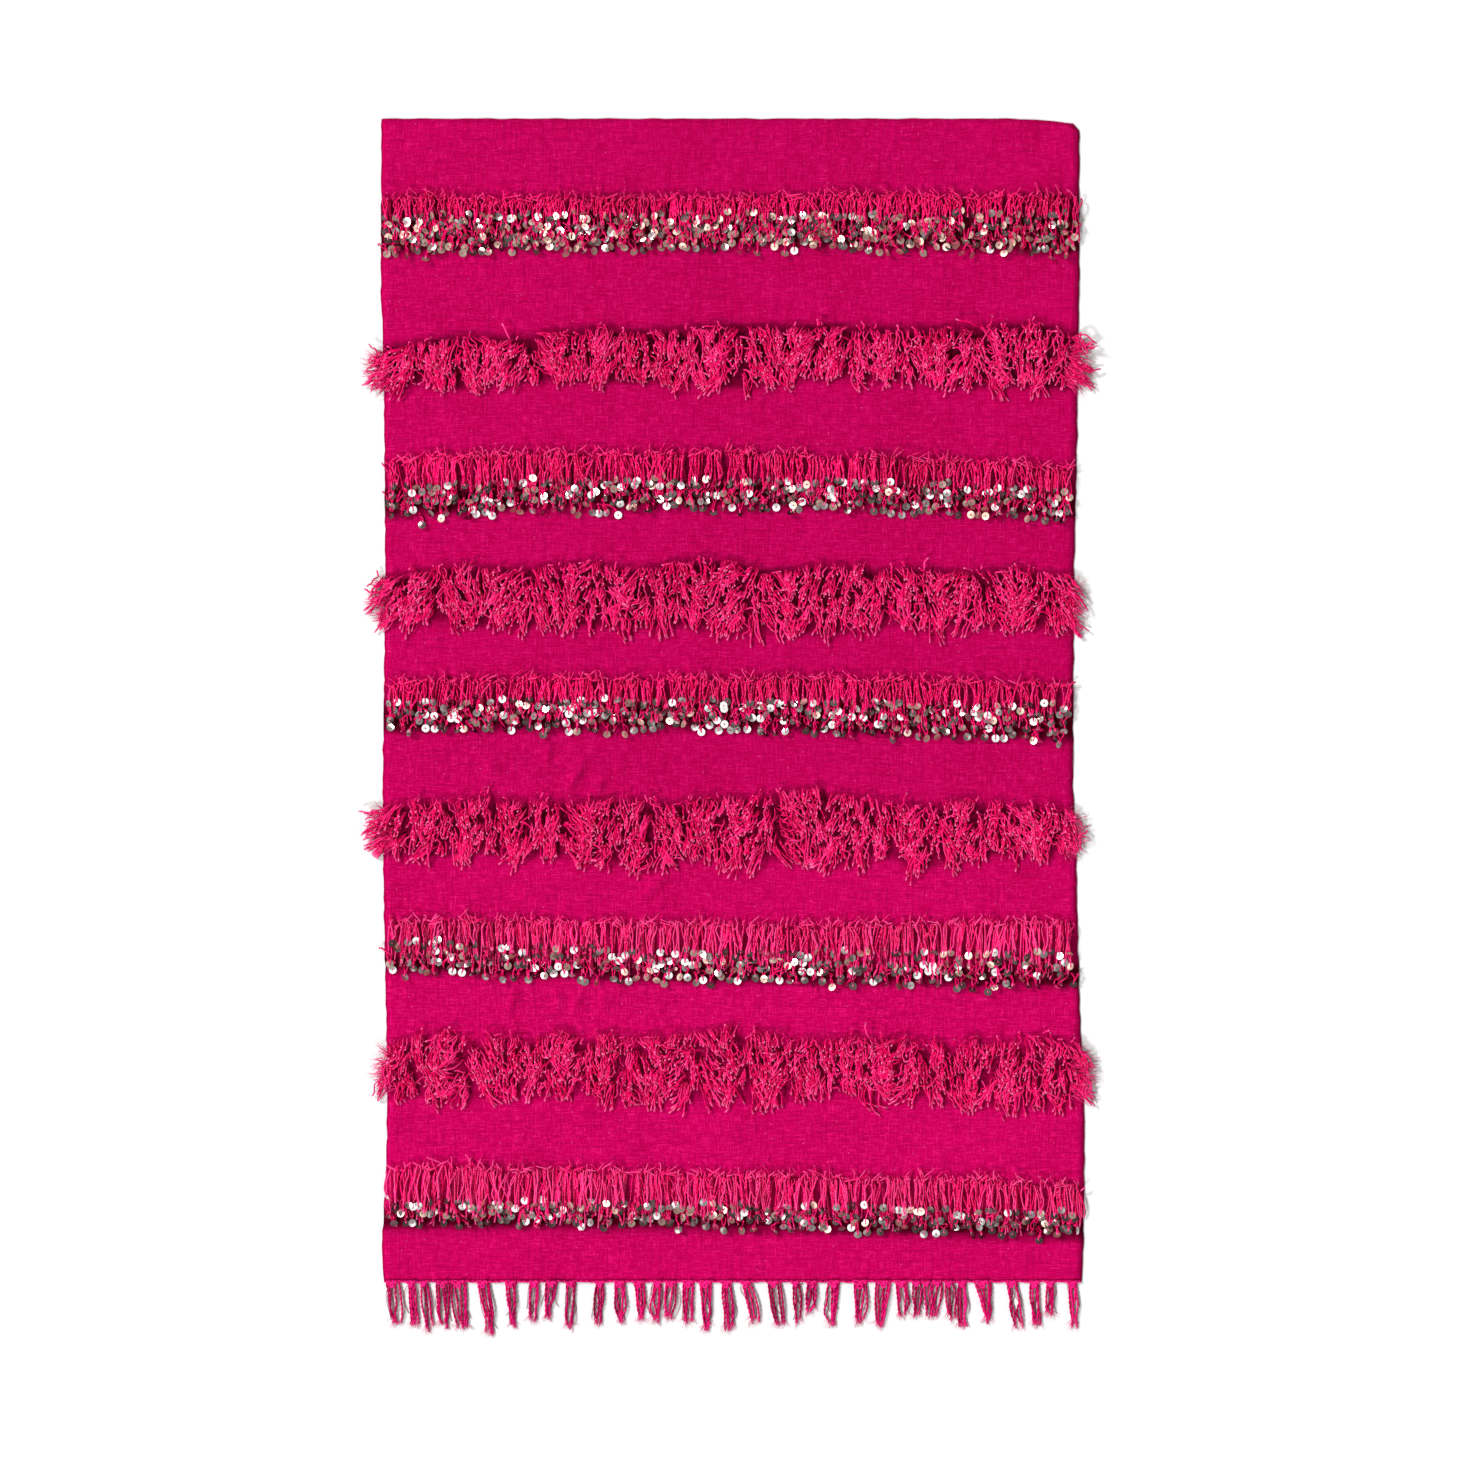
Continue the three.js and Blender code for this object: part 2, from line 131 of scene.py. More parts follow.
world = bpy.data.worlds.new("studio_room")
world.use_nodes = True
scene.world = world
room = world.node_tree
room.nodes.clear()
gaze = add(room, "SeparateXYZ", {"Vector": add(room, "TexCoord").outputs["Generated"]})
to_side = computed(room, "ABSOLUTE", gaze.outputs["X"])
to_end = computed(room, "ABSOLUTE", gaze.outputs["Y"])
furthest = computed(room, "MAXIMUM", to_side, to_end)
is_sky = remapped(room, gaze.outputs["Z"], 0.0, 0.05)
overhead = remapped(room, furthest, OVERHEAD["half"] - 0.04, OVERHEAD["half"] + 0.04, 1, 0)
overhead = computed(room, "MULTIPLY", overhead, is_sky)
from_strip = computed(room, "ABSOLUTE", computed(room, "SUBTRACT", to_side, STRIPS["middle"]))
strip = remapped(room, from_strip, STRIPS["half"] - 0.03, STRIPS["half"] + 0.03, 1, 0)
strip = computed(room, "MULTIPLY", strip, is_sky)
glow = mixed(room, strip, ROOM, (STRIPS["strength"],) * 3 + (1,))
glow = mixed(room, overhead, glow, (OVERHEAD["strength"],) * 3 + (1,))
sky = add(room, "Background", {"Color": glow, "Strength": 1.0})
add(room, "OutputWorld", {"Surface": sky.outputs["Background"]})

SUNS = {"upper_left": (146, 39, 2.95), "lower_left": (-128, 43, 2.4)}
SUN_WIDTH = math.radians(12)
for name, (bearing, elevation, energy) in SUNS.items():
    sun_data = bpy.data.lights.new(name, "SUN")
    sun_data.energy = energy
    sun_data.angle = SUN_WIDTH
    sun = bpy.data.objects.new(name, sun_data)
    sun.rotation_euler = (0, math.radians(90 - elevation), math.radians(bearing))
    scene.collection.objects.link(sun)
scene.view_settings.view_transform = "Standard"

# %% [markdown]
# ## Shape helpers
# Every piece here is a surface worked out as whole arrays of points. `new_piece` turns points and
# faces into a Blender mesh, `tubes` carries a ring along many paths at once for yarn, and `rims`
# reads where a measured row starts and ends, so that the yarn stays on the row it belongs to.


# %% Mesh from arrays
NO_TRIANGLES = np.empty((0, 3), int)


def xyz(x, y, z):
    """Points or directions from their three parts. A part may be one number for all of them."""
    return np.stack(np.broadcast_arrays(x, y, z), -1)


def new_piece(name, points, quads, triangles, corner_uv, material):
    """One object from corner points (n, 3), faces given as corner numbers, and a UV for each face
    corner, with the four-sided faces first."""
    mesh = bpy.data.meshes.new(name)
    corners = np.concatenate([quads.ravel(), triangles.ravel()])
    sizes = np.concatenate([np.full(len(quads), 4), np.full(len(triangles), 3)])
    mesh.vertices.add(len(points))
    mesh.vertices.foreach_set("co", np.ascontiguousarray(points, dtype=np.float32).ravel())
    mesh.loops.add(len(corners))
    mesh.loops.foreach_set("vertex_index", corners.astype(np.int32))
    mesh.polygons.add(len(sizes))
    mesh.polygons.foreach_set("loop_start", (np.cumsum(sizes) - sizes).astype(np.int32))
    mesh.update(calc_edges=True)
    mesh.polygons.foreach_set("use_smooth", np.ones(len(sizes), bool))
    uv_map = mesh.uv_layers.new(name="UVMap")
    uv_map.data.foreach_set("uv", corner_uv.astype(np.float32).ravel())
    mesh.materials.append(material)
    piece = bpy.data.objects.new(name, mesh)
    scene.collection.objects.link(piece)
    print(name, "faces as triangles:", int((sizes - 2).sum()))
    return piece


def add_attribute(piece, name, values):
    """A number for each corner point, which the material can read by its name."""
    layer = piece.data.attributes.new(name, "FLOAT", "POINT")
    layer.data.foreach_set("value", np.ascontiguousarray(values, dtype=np.float32).ravel())


# %% Yarn along many paths
ACROSS_CLOTH = (1.0, 0.0, 0.0)
UP_CLOTH = (0.0, 1.0, 0.0)


def unit(vectors):
    """Each vector at length one."""
    return vectors / np.linalg.norm(vectors, axis=-1, keepdims=True)


def kept_above(paths, height):
    """The same paths, nowhere lower than a height."""
    paths[:, :, 2] = np.maximum(paths[:, :, 2], height)
    return paths


def tubes(paths, radii, sides, sideways, tint):
    """Closed tubes, one for each path. At each place on a path stands a ring of corners, square to
    the path: place + radius * (cos(turn) * beside + sin(turn) * upward). The direction to the side
    and the tint are one for all tubes or one for each. Returns the faces' arrays and, for each
    corner, how far along its tube it is from 0 to 1, and its tube's tint."""
    count, steps, _ = paths.shape
    radii = np.broadcast_to(radii, (count, steps))
    ahead = unit(np.gradient(paths, axis=1))
    beside = np.broadcast_to(sideways, (count, 3))[:, None, :] * np.ones((1, steps, 1))
    beside = unit(beside - (beside * ahead).sum(-1, keepdims=True) * ahead)
    upward = np.cross(ahead, beside)
    turn = (2 * np.pi * np.arange(sides) / sides)[:, None]
    ring = np.cos(turn) * beside[:, :, None, :] + np.sin(turn) * upward[:, :, None, :]
    points = paths[:, :, None, :] + radii[:, :, None, None] * ring

    number = np.arange(count * steps * sides).reshape(count, steps, sides)
    near, far = number[:, :-1], number[:, 1:]
    quads = np.stack([near, np.roll(near, -1, 2), np.roll(far, -1, 2), far], -1).reshape(-1, 4)
    fan = np.arange(1, sides - 1)
    hub = np.zeros_like(fan)
    first, last = number[:, 0], number[:, -1]
    start = np.stack([first[:, hub], first[:, fan + 1], first[:, fan]], -1).reshape(-1, 3)
    end = np.stack([last[:, hub], last[:, fan], last[:, fan + 1]], -1).reshape(-1, 3)

    walked = np.linalg.norm(np.diff(paths, axis=1), axis=-1).cumsum(1)
    walked = np.pad(walked, ((0, 0), (1, 0))) / (10 * MM)
    low, high = walked[:, :-1, None], walked[:, 1:, None]
    around = np.arange(sides)[None, None, :] / sides
    u = np.stack(np.broadcast_arrays(around, around + 1 / sides, around + 1 / sides, around), -1)
    v = np.stack(np.broadcast_arrays(low, low, high, high), -1)
    u, v = np.broadcast_arrays(u, v * np.ones((1, 1, sides, 1)))
    ends_uv = np.full(((len(start) + len(end)) * 3, 2), 0.5)
    uv = np.concatenate([np.stack([u, v], -1).reshape(-1, 2), ends_uv])
    along = np.broadcast_to(np.linspace(0, 1, steps)[None, :, None], (count, steps, sides))
    return {
        "points": points.reshape(-1, 3),
        "quads": quads,
        "triangles": np.concatenate([start, end]),
        "uv": uv,
        "along": along.ravel(),
        "tint": np.repeat(np.broadcast_to(tint, count), steps * sides),
    }


def bezier(first, second, third, fourth, steps):
    """Cubic curves through the first and fourth points, pulled towards the two between."""
    t = np.linspace(0, 1, steps)[None, :, None]
    near = (1 - t) ** 3 * first[:, None] + 3 * (1 - t) ** 2 * t * second[:, None]
    return near + 3 * (1 - t) * t**2 * third[:, None] + t**3 * fourth[:, None]


def joined(parts):
    """Several sets of tubes as one set, with the faces' corner numbers moved on."""
    shift = np.cumsum([0] + [len(part["points"]) for part in parts])
    quads = np.concatenate([part["quads"] + move for part, move in zip(parts, shift)])
    triangles = np.concatenate([part["triangles"] + move for part, move in zip(parts, shift)])
    quad_uv = [part["uv"][: part["quads"].size] for part in parts]
    end_uv = [part["uv"][part["quads"].size :] for part in parts]
    names = ("points", "along", "tint")
    whole = {name: np.concatenate([part[name] for part in parts]) for name in names}
    return whole | {"quads": quads, "triangles": triangles, "uv": np.concatenate(quad_uv + end_uv)}


def yarn_piece(name, parts, material):
    """One object of yarn from several sets of tubes, with its two attributes."""
    whole = joined(parts)
    shape = (whole[part] for part in ("points", "quads", "triangles", "uv"))
    piece = new_piece(name, *shape, material)
    add_attribute(piece, "along", whole["along"])
    add_attribute(piece, "tint", whole["tint"])
    return piece


# %% Rims of a measured row
def corners_of(node):
    """The corner points of a measured solid, (n, 3)."""
    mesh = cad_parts[node].data
    points = np.empty(3 * len(mesh.vertices), np.float32)
    mesh.vertices.foreach_get("co", points)
    return points.reshape(-1, 3).astype(float)


STRETCH = 28 * MM


def rims(node):
    """Where a row starts and ends: the highest and lowest corner in each stretch along it, evened
    out over three stretches. Gives two functions of x, and how far the row reaches."""
    at = corners_of(node)
    left, right = at[:, 0].min(), at[:, 0].max()
    stretches = int((right - left) / STRETCH)
    cell = np.minimum((at[:, 0] - left) / (right - left) * stretches, stretches - 1).astype(int)
    middles = left + (np.arange(stretches) + 0.5) * (right - left) / stretches
    top = np.full(stretches, -np.inf)
    foot = np.full(stretches, np.inf)
    np.maximum.at(top, cell, at[:, 1])
    np.minimum.at(foot, cell, at[:, 1])
    filled = np.isfinite(top)
    middles, top, foot = middles[filled], top[filled], foot[filled]

    def evened(line):
        padded = np.pad(line, 1, mode="edge")
        return 0.25 * padded[:-2] + 0.5 * padded[1:-1] + 0.25 * padded[2:]

    top, foot = evened(top), evened(foot)
    return {
        "left": left,
        "right": right,
        "top": lambda x: np.interp(x, middles, top),
        "foot": lambda x: np.interp(x, middles, foot),
    }


def wander(x, length, seed):
    """A smooth wander between about -1 and 1 along x: four sine waves of unlike lengths."""
    shift = np.random.default_rng(seed).uniform(0, 2 * np.pi, 4)
    waves = length * np.array([1.0, 1.43, 0.73, 0.53])
    return sum(np.sin(2 * np.pi * x / wave + start) for wave, start in zip(waves, shift)) / 2


# %% [markdown]
# ## Wool
# All the yarn and the ground cloth were dyed in one bath, so they share one look: a deep cerise,
# unevenly dyed, with darker and paler flecks. `dyed_wool` is a node group with that unevenness,
# used by each wool material with its own colours and scale. The yarn materials add painted shade,
# darker in the hollows of the pile and in the grooves of the ply, and painted highlights, paler
# where fibres catch the light, on the palest strands and at cut tips. `twisted_ply` gives the
# slanting ridges of spun yarn from the UV map, which runs round and along each yarn, and a mask
# of its grooves.


# %% Node groups shared by the wool materials
def new_group(name, inputs, outputs):
    """A node group with named sockets, and its two end nodes."""
    group = bpy.data.node_groups.new(name, "ShaderNodeTree")
    for label, kind in inputs.items():
        group.interface.new_socket(name=label, in_out="INPUT", socket_type="NodeSocket" + kind)
    for label, kind in outputs.items():
        group.interface.new_socket(name=label, in_out="OUTPUT", socket_type="NodeSocket" + kind)
    entry = group.nodes.new("NodeGroupInput")
    leave = group.nodes.new("NodeGroupOutput")
    return group, entry.outputs, leave.inputs


dyed_wool, given, put = new_group(
    "dyed_wool",
    {"Vector": "Vector", "Deep": "Color", "Body": "Color", "Pale": "Color", "Grain": "Float"},
    {"Color": "Color", "Fuzz": "Float"},
)
clouds = add(dyed_wool, "TexNoise", {"Vector": given["Vector"], "Scale": 9.0, "Detail": 4.0})
grain = add(dyed_wool, "TexNoise", {"Vector": given["Vector"], "Scale": given["Grain"], "Detail": 3.0})
dye = mixed(dyed_wool, remapped(dyed_wool, clouds.outputs[0], 0.3, 0.7), given["Deep"], given["Body"])
dye = mixed(dyed_wool, remapped(dyed_wool, grain.outputs[0], 0.50, 0.72), dye, given["Pale"])
dye = mixed(dyed_wool, remapped(dyed_wool, grain.outputs[0], 0.46, 0.28), dye, given["Deep"])
dyed_wool.links.new(dye, put["Color"])
dyed_wool.links.new(grain.outputs[0], put["Fuzz"])

twisted_ply, given, put = new_group(
    "twisted_ply",
    {"UV": "Vector", "Turns": "Float"},
    {"Height": "Float", "GrooveShade": "Float"},
)
turned = add(twisted_ply, "SeparateXYZ", {"Vector": given["UV"]})
climb = computed(twisted_ply, "MULTIPLY", turned.outputs["Y"], given["Turns"])
lean = computed(twisted_ply, "ADD", climb, turned.outputs["X"])
# Two plies make two ridges in each turn
TWO_PLIES = 2 * 2 * np.pi
ridge = computed(twisted_ply, "SINE", computed(twisted_ply, "MULTIPLY", lean, TWO_PLIES))
twisted_ply.links.new(ridge, put["Height"])
# A mask of the grooves between the plies, which the yarn materials use for painted shade
twisted_ply.links.new(remapped(twisted_ply, ridge, -1.0, -0.2, 1, 0), put["GrooveShade"])


# %% Wool materials
def new_material(name, **constants):
    """A material with one Principled shader, whose even values are set on its own sockets."""
    material = bpy.data.materials.new(name)
    material.use_nodes = True
    tree = material.node_tree
    shader = tree.nodes["Principled BSDF"]
    for socket, value in constants.items():
        shader.inputs[socket.replace("_", " ")].default_value = value
    return material, tree, shader


YARN_GRAIN = 420.0
YARN_SHEEN = (1.0, 0.08, 0.35, 1)


def yarn_material(name, deep, body, pale, tip, turns, painted_hollow_shade):
    """Spun wool. Painted shade makes it deep in its grooves and in the hollows between two heights.
    Each strand's tint gives it a tone of its own, the palest strands are painted paler as highlights,
    and a painted highlight makes it paler at its cut tip.
    """
    material, tree, shader = new_material(
        name, Roughness=0.5, Specular_IOR_Level=0.1, Specular_Tint=YARN_SHEEN
    )
    coordinates = add(tree, "TexCoord")
    place = coordinates.outputs["Object"]
    own = {"Vector": place, "Deep": deep, "Body": body, "Pale": pale, "Grain": YARN_GRAIN}
    wool = add(tree, "Group", own, node_tree=dyed_wool).outputs
    ply = {"UV": coordinates.outputs["UV"], "Turns": turns}
    ply = add(tree, "Group", ply, node_tree=twisted_ply).outputs
    along = add(tree, "Attribute", attribute_name="along").outputs["Fac"]
    tint = add(tree, "Attribute", attribute_name="tint").outputs["Fac"]
    height = add(tree, "SeparateXYZ", {"Vector": place}).outputs["Z"]
    # Each strand's tint is a tone of its own: the lowest are deeper, and the palest are painted paler
    # as highlights
    colour = mixed(tree, remapped(tree, tint, 0.45, 1.0, 0.0, 0.8), wool["Color"], pale)
    colour = mixed(tree, remapped(tree, tint, 0.0, 0.40, 0.75, 0.0), colour, deep)
    # Painted shade in the hollows: deeper below the upper of two heights
    colour = mixed(tree, remapped(tree, height, painted_hollow_shade[0], painted_hollow_shade[1], 0.85, 0.0), colour, deep)
    # Painted shade in the grooves between the plies
    colour = mixed(tree, computed(tree, "MULTIPLY", ply["GrooveShade"], 0.3), colour, deep)
    # Painted highlight: paler towards the cut tip
    colour = mixed(tree, remapped(tree, along, 0.84, 1.0, 0.0, 0.8), colour, tip)
    tree.links.new(colour, shader.inputs["Base Color"])
    bump = add(tree, "Bump", {"Height": ply["Height"], "Strength": 0.5, "Distance": 0.35 * MM})
    fuzz = {"Height": wool["Fuzz"], "Strength": 0.35, "Distance": 0.4 * MM}
    fuzz = add(tree, "Bump", fuzz | {"Normal": bump.outputs["Normal"]})
    tree.links.new(fuzz.outputs["Normal"], shader.inputs["Normal"])
    return material


shag_wool = yarn_material(
    "shag_wool", (0.56, 0.0004, 0.066, 1), (0.76, 0.0010, 0.122, 1), (0.95, 0.050, 0.27, 1),
    (1.0, 0.22, 0.48, 1), turns=2.2, painted_hollow_shade=(2.5 * MM, 5 * MM),
)
loop_wool = yarn_material(
    "loop_wool", (0.52, 0.0007, 0.058, 1), (1.0, 0.0030, 0.170, 1), (1.0, 0.095, 0.35, 1),
    (1.0, 0.14, 0.40, 1), turns=2.2, painted_hollow_shade=(2.5 * MM, 4.2 * MM),
)
fringe_wool = yarn_material(
    "fringe_wool", (0.22, 0.0003, 0.036, 1), (0.72, 0.0008, 0.130, 1), (1.0, 0.020, 0.26, 1),
    (0.76, 0.03, 0.22, 1), turns=1.4, painted_hollow_shade=(0.2 * MM, 2.0 * MM),
)

# %% [markdown]
# ## Ground cloth material
# The ground is a plain weave of hand-spun wool. Close up, warp and weft pass over and under each
# other about every two millimetres. From a step away that is lost, and what shows is the uneven
# spinning: thick slubs that make short pale streaks along and across the cloth, thin places that
# make longer dark ones, and specks of lint. The over-and-under is bump, and the rest is colour. The
# cloth is also darker at its selvedges and a little over its upper part, and it has painted shade
# under the rows and just above their rims.

# %% Ground cloth material
YARN_PITCH = 2.1 * MM

ground_wool, tree, shader = new_material("ground_wool", Roughness=0.95, Specular_IOR_Level=0.0)
coordinates = add(tree, "TexCoord")
sheet_place = coordinates.outputs["Object"]
GROUND_DYE = {
    "Deep": (0.345, 0.0001, 0.054, 1), "Body": (0.400, 0.0002, 0.069, 1),
    "Pale": (0.62, 0.0022, 0.120, 1), "Grain": 480.0,
}
PALE_SLUB = (0.70, 0.009, 0.165, 1)
DARK_GAP = (0.17, 0.0001, 0.026, 1)
LINT = (0.62, 0.10, 0.25, 1)
# The colour of the painted shade under and just above the rows
SHADE = (0.07, 0.0002, 0.009, 1)
wool = add(tree, "Group", {"Vector": sheet_place} | GROUND_DYE, node_tree=dyed_wool).outputs


def streaks(stretched, from_share, to_share):
    """A mask of streaks: noise drawn out along one direction of the cloth."""
    drawn = add(tree, "Mapping", {"Vector": sheet_place, "Scale": stretched})
    noise = add(tree, "TexNoise", {"Vector": drawn.outputs["Vector"], "Scale": 1.0, "Detail": 2.0})
    return remapped(tree, noise.outputs[0], from_share, to_share)


weft_slubs = streaks((60, 420, 1), 0.52, 0.76)
warp_slubs = streaks((420, 60, 1), 0.52, 0.76)
lint = add(tree, "TexVoronoi", {"Vector": sheet_place, "Scale": 58.0, "Randomness": 1.0})
from_selvedge = add(tree, "Attribute", attribute_name="from_selvedge").outputs["Fac"]
spots = add(tree, "SeparateXYZ", {"Vector": sheet_place})
upper_part = remapped(tree, spots.outputs["Y"], -0.40, -0.10, 0.0, 0.22)
to_right = remapped(tree, spots.outputs["X"], -0.5, -0.1, 0.55, 1.0)
# The share of painted shade under and around the rows, kept on the cloth as an attribute
painted_row_shade = add(tree, "Attribute", attribute_name="painted_row_shade").outputs["Fac"]
colour = wool["Color"]
for mask, strength, toward in (
    (weft_slubs, 0.75, PALE_SLUB),
    (warp_slubs, 0.60, PALE_SLUB),
    (streaks((16, 300, 7), 0.50, 0.26), 0.40, DARK_GAP),
    (streaks((300, 14, 7), 0.50, 0.26), 0.36, DARK_GAP),
    (remapped(tree, lint.outputs["Distance"], 0.040, 0.070, 1, 0), 0.55, LINT),
    (remapped(tree, from_selvedge, 1.5 * MM, 5 * MM, 1, 0), 0.45, DARK_GAP),
    (upper_part, to_right, DARK_GAP),
    # Painted shade under the rows
    (painted_row_shade, 1.0, SHADE),
):
    colour = mixed(tree, computed(tree, "MULTIPLY", mask, strength), colour, toward)
tree.links.new(colour, shader.inputs["Base Color"])

over = computed(tree, "SINE", computed(tree, "MULTIPLY", spots.outputs["X"], np.pi / YARN_PITCH))
under = computed(tree, "SINE", computed(tree, "MULTIPLY", spots.outputs["Y"], np.pi / YARN_PITCH))
crossing = computed(tree, "MULTIPLY", over, under)
weave = add(tree, "Bump", {"Height": crossing, "Strength": 0.55, "Distance": 0.5 * MM})
slubs = computed(tree, "ADD", weft_slubs, warp_slubs)
slub_bump = {"Height": slubs, "Strength": 0.4, "Distance": 0.6 * MM, "Normal": weave.outputs["Normal"]}
slub_bump = add(tree, "Bump", slub_bump)
tree.links.new(slub_bump.outputs["Normal"], shader.inputs["Normal"])

# %% [markdown]
# ## Ground cloth
# The cloth is one thin sheet, laid flat. It is modelled as a grid of two layers, a top and an
# underside, joined round the edge. Its sides follow the measured selvedges. It lies flat under
# every row and lifts in a few soft folds between them, each placed where the photograph shows
# one, with finer creases and a slight cockle that the solid leaves out.

# %% Folds and creases
# Middle x and y, half length, half width, turn in degrees and lift, all lengths in millimetres
FOLDS = [
    (-228, -108, 95, 34, -24, 2.4),
    (-335, -484, 58, 30, 10, 2.0),
    (230, -487, 110, 26, 4, 1.9),
    (210, 862, 150, 48, 6, 1.9),
    (-330, 650, 130, 44, -5, 2.4),
    (330, 646, 120, 40, 7, 1.9),
    (-80, 437, 130, 30, 3, 1.9),
    (-300, -696, 120, 26, 5, 1.9),
]
CREASES = [
    (-247, -119, 42, 12, 58, 9.0),
    (-212, -138, 30, 12, 52, 7.0),
    (-292, -84, 27, 12, 75, 6.0),
    (-380, -106, 24, 14, 80, 5.6),
    (-176, -104, 26, 12, 70, 2.4),
    (-122, -291, 46, 12, 42, 9.5),
    (-324, -302, 18, 11, 35, 2.0),
    (-262, -330, 18, 11, 20, 2.0),
    (-348, -477, 32, 12, 60, 8.0),
    (-275, -473, 24, 12, 80, 4.0),
    (-243, -472, 27, 11, 70, 5.6),
    (-205, -475, 30, 13, 75, 3.6),
    (-500, -480, 40, 14, 88, 2.8),
    (205, -492, 60, 14, 14, 1.8),
    (150, 640, 60, 14, 24, 1.8),
    (-440, 450, 40, 13, 70, 2.2),
]


def raised(x, y, table):
    """The lift of every fold in a table: a cosine ridge that dies away at its own oval."""
    lift = np.zeros_like(x)
    for middle_x, middle_y, length, width, turn, height in table:
        angle = math.radians(turn)
        east, north = x - middle_x * MM, y - middle_y * MM
        along = (east * math.cos(angle) + north * math.sin(angle)) / (length * MM)
        across = (north * math.cos(angle) - east * math.sin(angle)) / (width * MM)
        away = np.minimum(1, np.hypot(along, across))
        lift += height * MM * (0.5 + 0.5 * np.cos(np.pi * away))
    return lift


# %% Ground cloth
CLOTH = {"columns": 116, "rows": 182, "top": 2.0 * MM, "thick": 1.6 * MM, "cockle": 0.5 * MM}
# Where the grid is finer: share of the width or length at the middle, its half width, and how much
CREASED_ACROSS = [(0.27, 0.12, 1.3)]
CREASED_DOWN = [(0.562, 0.028, 1.0), (0.664, 0.022, 1.0), (0.764, 0.022, 1.0)]
TOP_CORNER = {"radius": 9 * MM, "slope_from": 440 * MM, "slope_to": 540 * MM, "drop": 8 * MM}
cloth_low, cloth_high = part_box("ground_cloth")


def selvedges():
    """The measured sides as two functions of y: the outermost corners of each line of the solid."""
    at = corners_of("ground_cloth")
    lines = np.unique(np.round(at[:, 1], 4))
    lines = lines[lines < cloth_high.y - TOP_CORNER["drop"] - MM]
    left = np.array([at[np.abs(at[:, 1] - y) < 0.2 * MM, 0].min() for y in lines])
    right = np.array([at[np.abs(at[:, 1] - y) < 0.2 * MM, 0].max() for y in lines])
    return lambda y: np.interp(y, lines, left), lambda y: np.interp(y, lines, right)


def crowded(amount, crowds):
    """Places from 0 to 1 that stand closer together in the creased parts: equal shares of the
    running sum of 1 + strength * exp(-((place - middle) / width)^2)."""
    fine = np.linspace(0, 1, 2001)
    weight = np.ones_like(fine)
    for middle, width, strength in crowds:
        weight += strength * np.exp(-(((fine - middle) / width) ** 2))
    share = np.cumsum(weight)
    share = (share - share[0]) / (share[-1] - share[0])
    return np.interp(np.linspace(0, 1, amount), share, fine)


left_side, right_side = selvedges()
u, v = np.meshgrid(
    crowded(CLOTH["columns"] + 1, CREASED_ACROSS), crowded(CLOTH["rows"] + 1, CREASED_DOWN)
)
y = cloth_high.y + (cloth_low.y - cloth_high.y) * v
left = left_side(y) + 0.7 * MM * wander(y, 45 * MM, 1)
right = right_side(y) + 0.7 * MM * wander(y, 60 * MM, 2)
round_by, slope_from, slope_to = (TOP_CORNER[part] for part in ("radius", "slope_from", "slope_to"))
below_top = np.clip(cloth_high.y - y, 0, round_by)
right -= round_by - np.sqrt(round_by**2 - (round_by - below_top) ** 2)
x = left + (right - left) * u
slope = np.clip((x - slope_from) / (slope_to - slope_from), 0, 1)
y = y - TOP_CORNER["drop"] * slope**1.5 * np.clip(1 - v * 12, 0, 1)
y = y + 0.5 * MM * wander(x, 70 * MM, 3) * (v == 0)
cockle = wander(x + 0.3 * y, 95 * MM, 4) * wander(y - 0.2 * x, 120 * MM, 5)
z = CLOTH["top"] + raised(x, y, FOLDS) + raised(x, y, CREASES) + CLOTH["cockle"] * cockle
top_layer = xyz(x, y, z)
under_layer = xyz(x, y, np.maximum(0.05 * MM, z - CLOTH["thick"]))

rows, columns = u.shape
number = np.arange(rows * columns).reshape(rows, columns)
below = number + rows * columns
top_faces = np.stack([number[:-1, :-1], number[1:, :-1], number[1:, 1:], number[:-1, 1:]], -1)
under_faces = np.stack([below[:-1, :-1], below[:-1, 1:], below[1:, 1:], below[1:, :-1]], -1)
edge = np.concatenate([number[:-1, 0], number[-1, :-1], number[:0:-1, -1], number[0, :0:-1]])
onward = np.roll(edge, -1)
edge_faces = np.stack([edge, edge + rows * columns, onward + rows * columns, onward], -1)
quads = np.concatenate([top_faces.reshape(-1, 4), under_faces.reshape(-1, 4), edge_faces])
points = np.concatenate([top_layer.reshape(-1, 3), under_layer.reshape(-1, 3)])
flat_uv = np.concatenate([np.stack([u, 1 - v], -1).reshape(-1, 2)] * 2)
woven_ground = new_piece(
    "woven_ground", points, quads, NO_TRIANGLES, flat_uv[quads.ravel()], ground_wool
)
inward = np.minimum(x - left, right - x).ravel()
add_attribute(woven_ground, "from_selvedge", np.tile(inward, 2))
FADE = 16 * MM
# How dark the painted shade makes the cloth under each row, and how far above the row's rim it reaches
SHADED = {
    "shag_1": (0.90, 7 * MM), "shag_2": (0.80, 2 * MM),
    "shag_3": (0.70, 1 * MM), "shag_4": (0.50, -6 * MM),
    "loops_1": (0.75, 0 * MM), "loops_2": (0.45, -3 * MM), "loops_3": (0.45, -3 * MM),
    "loops_4": (0.15, -8 * MM), "loops_5": (0.05, -8 * MM),
} | {f"sequins_{i}": (1.0, -8 * MM) for i in range(1, 6)}
# Painted shade: each cloth point takes the darkest share of any row
covered = np.zeros_like(x)
for node, (darkness, above) in SHADED.items():
    row = rims(node)
    inside = np.minimum(row["top"](x) + above - y, y - row["foot"](x) - 4 * MM)
    covered = np.maximum(covered, darkness * np.clip(0.7 + inside / FADE, 0, 1) ** 2)
add_attribute(woven_ground, "painted_row_shade", np.tile(covered.ravel(), 2))
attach(woven_ground, "root")
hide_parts("ground_cloth")

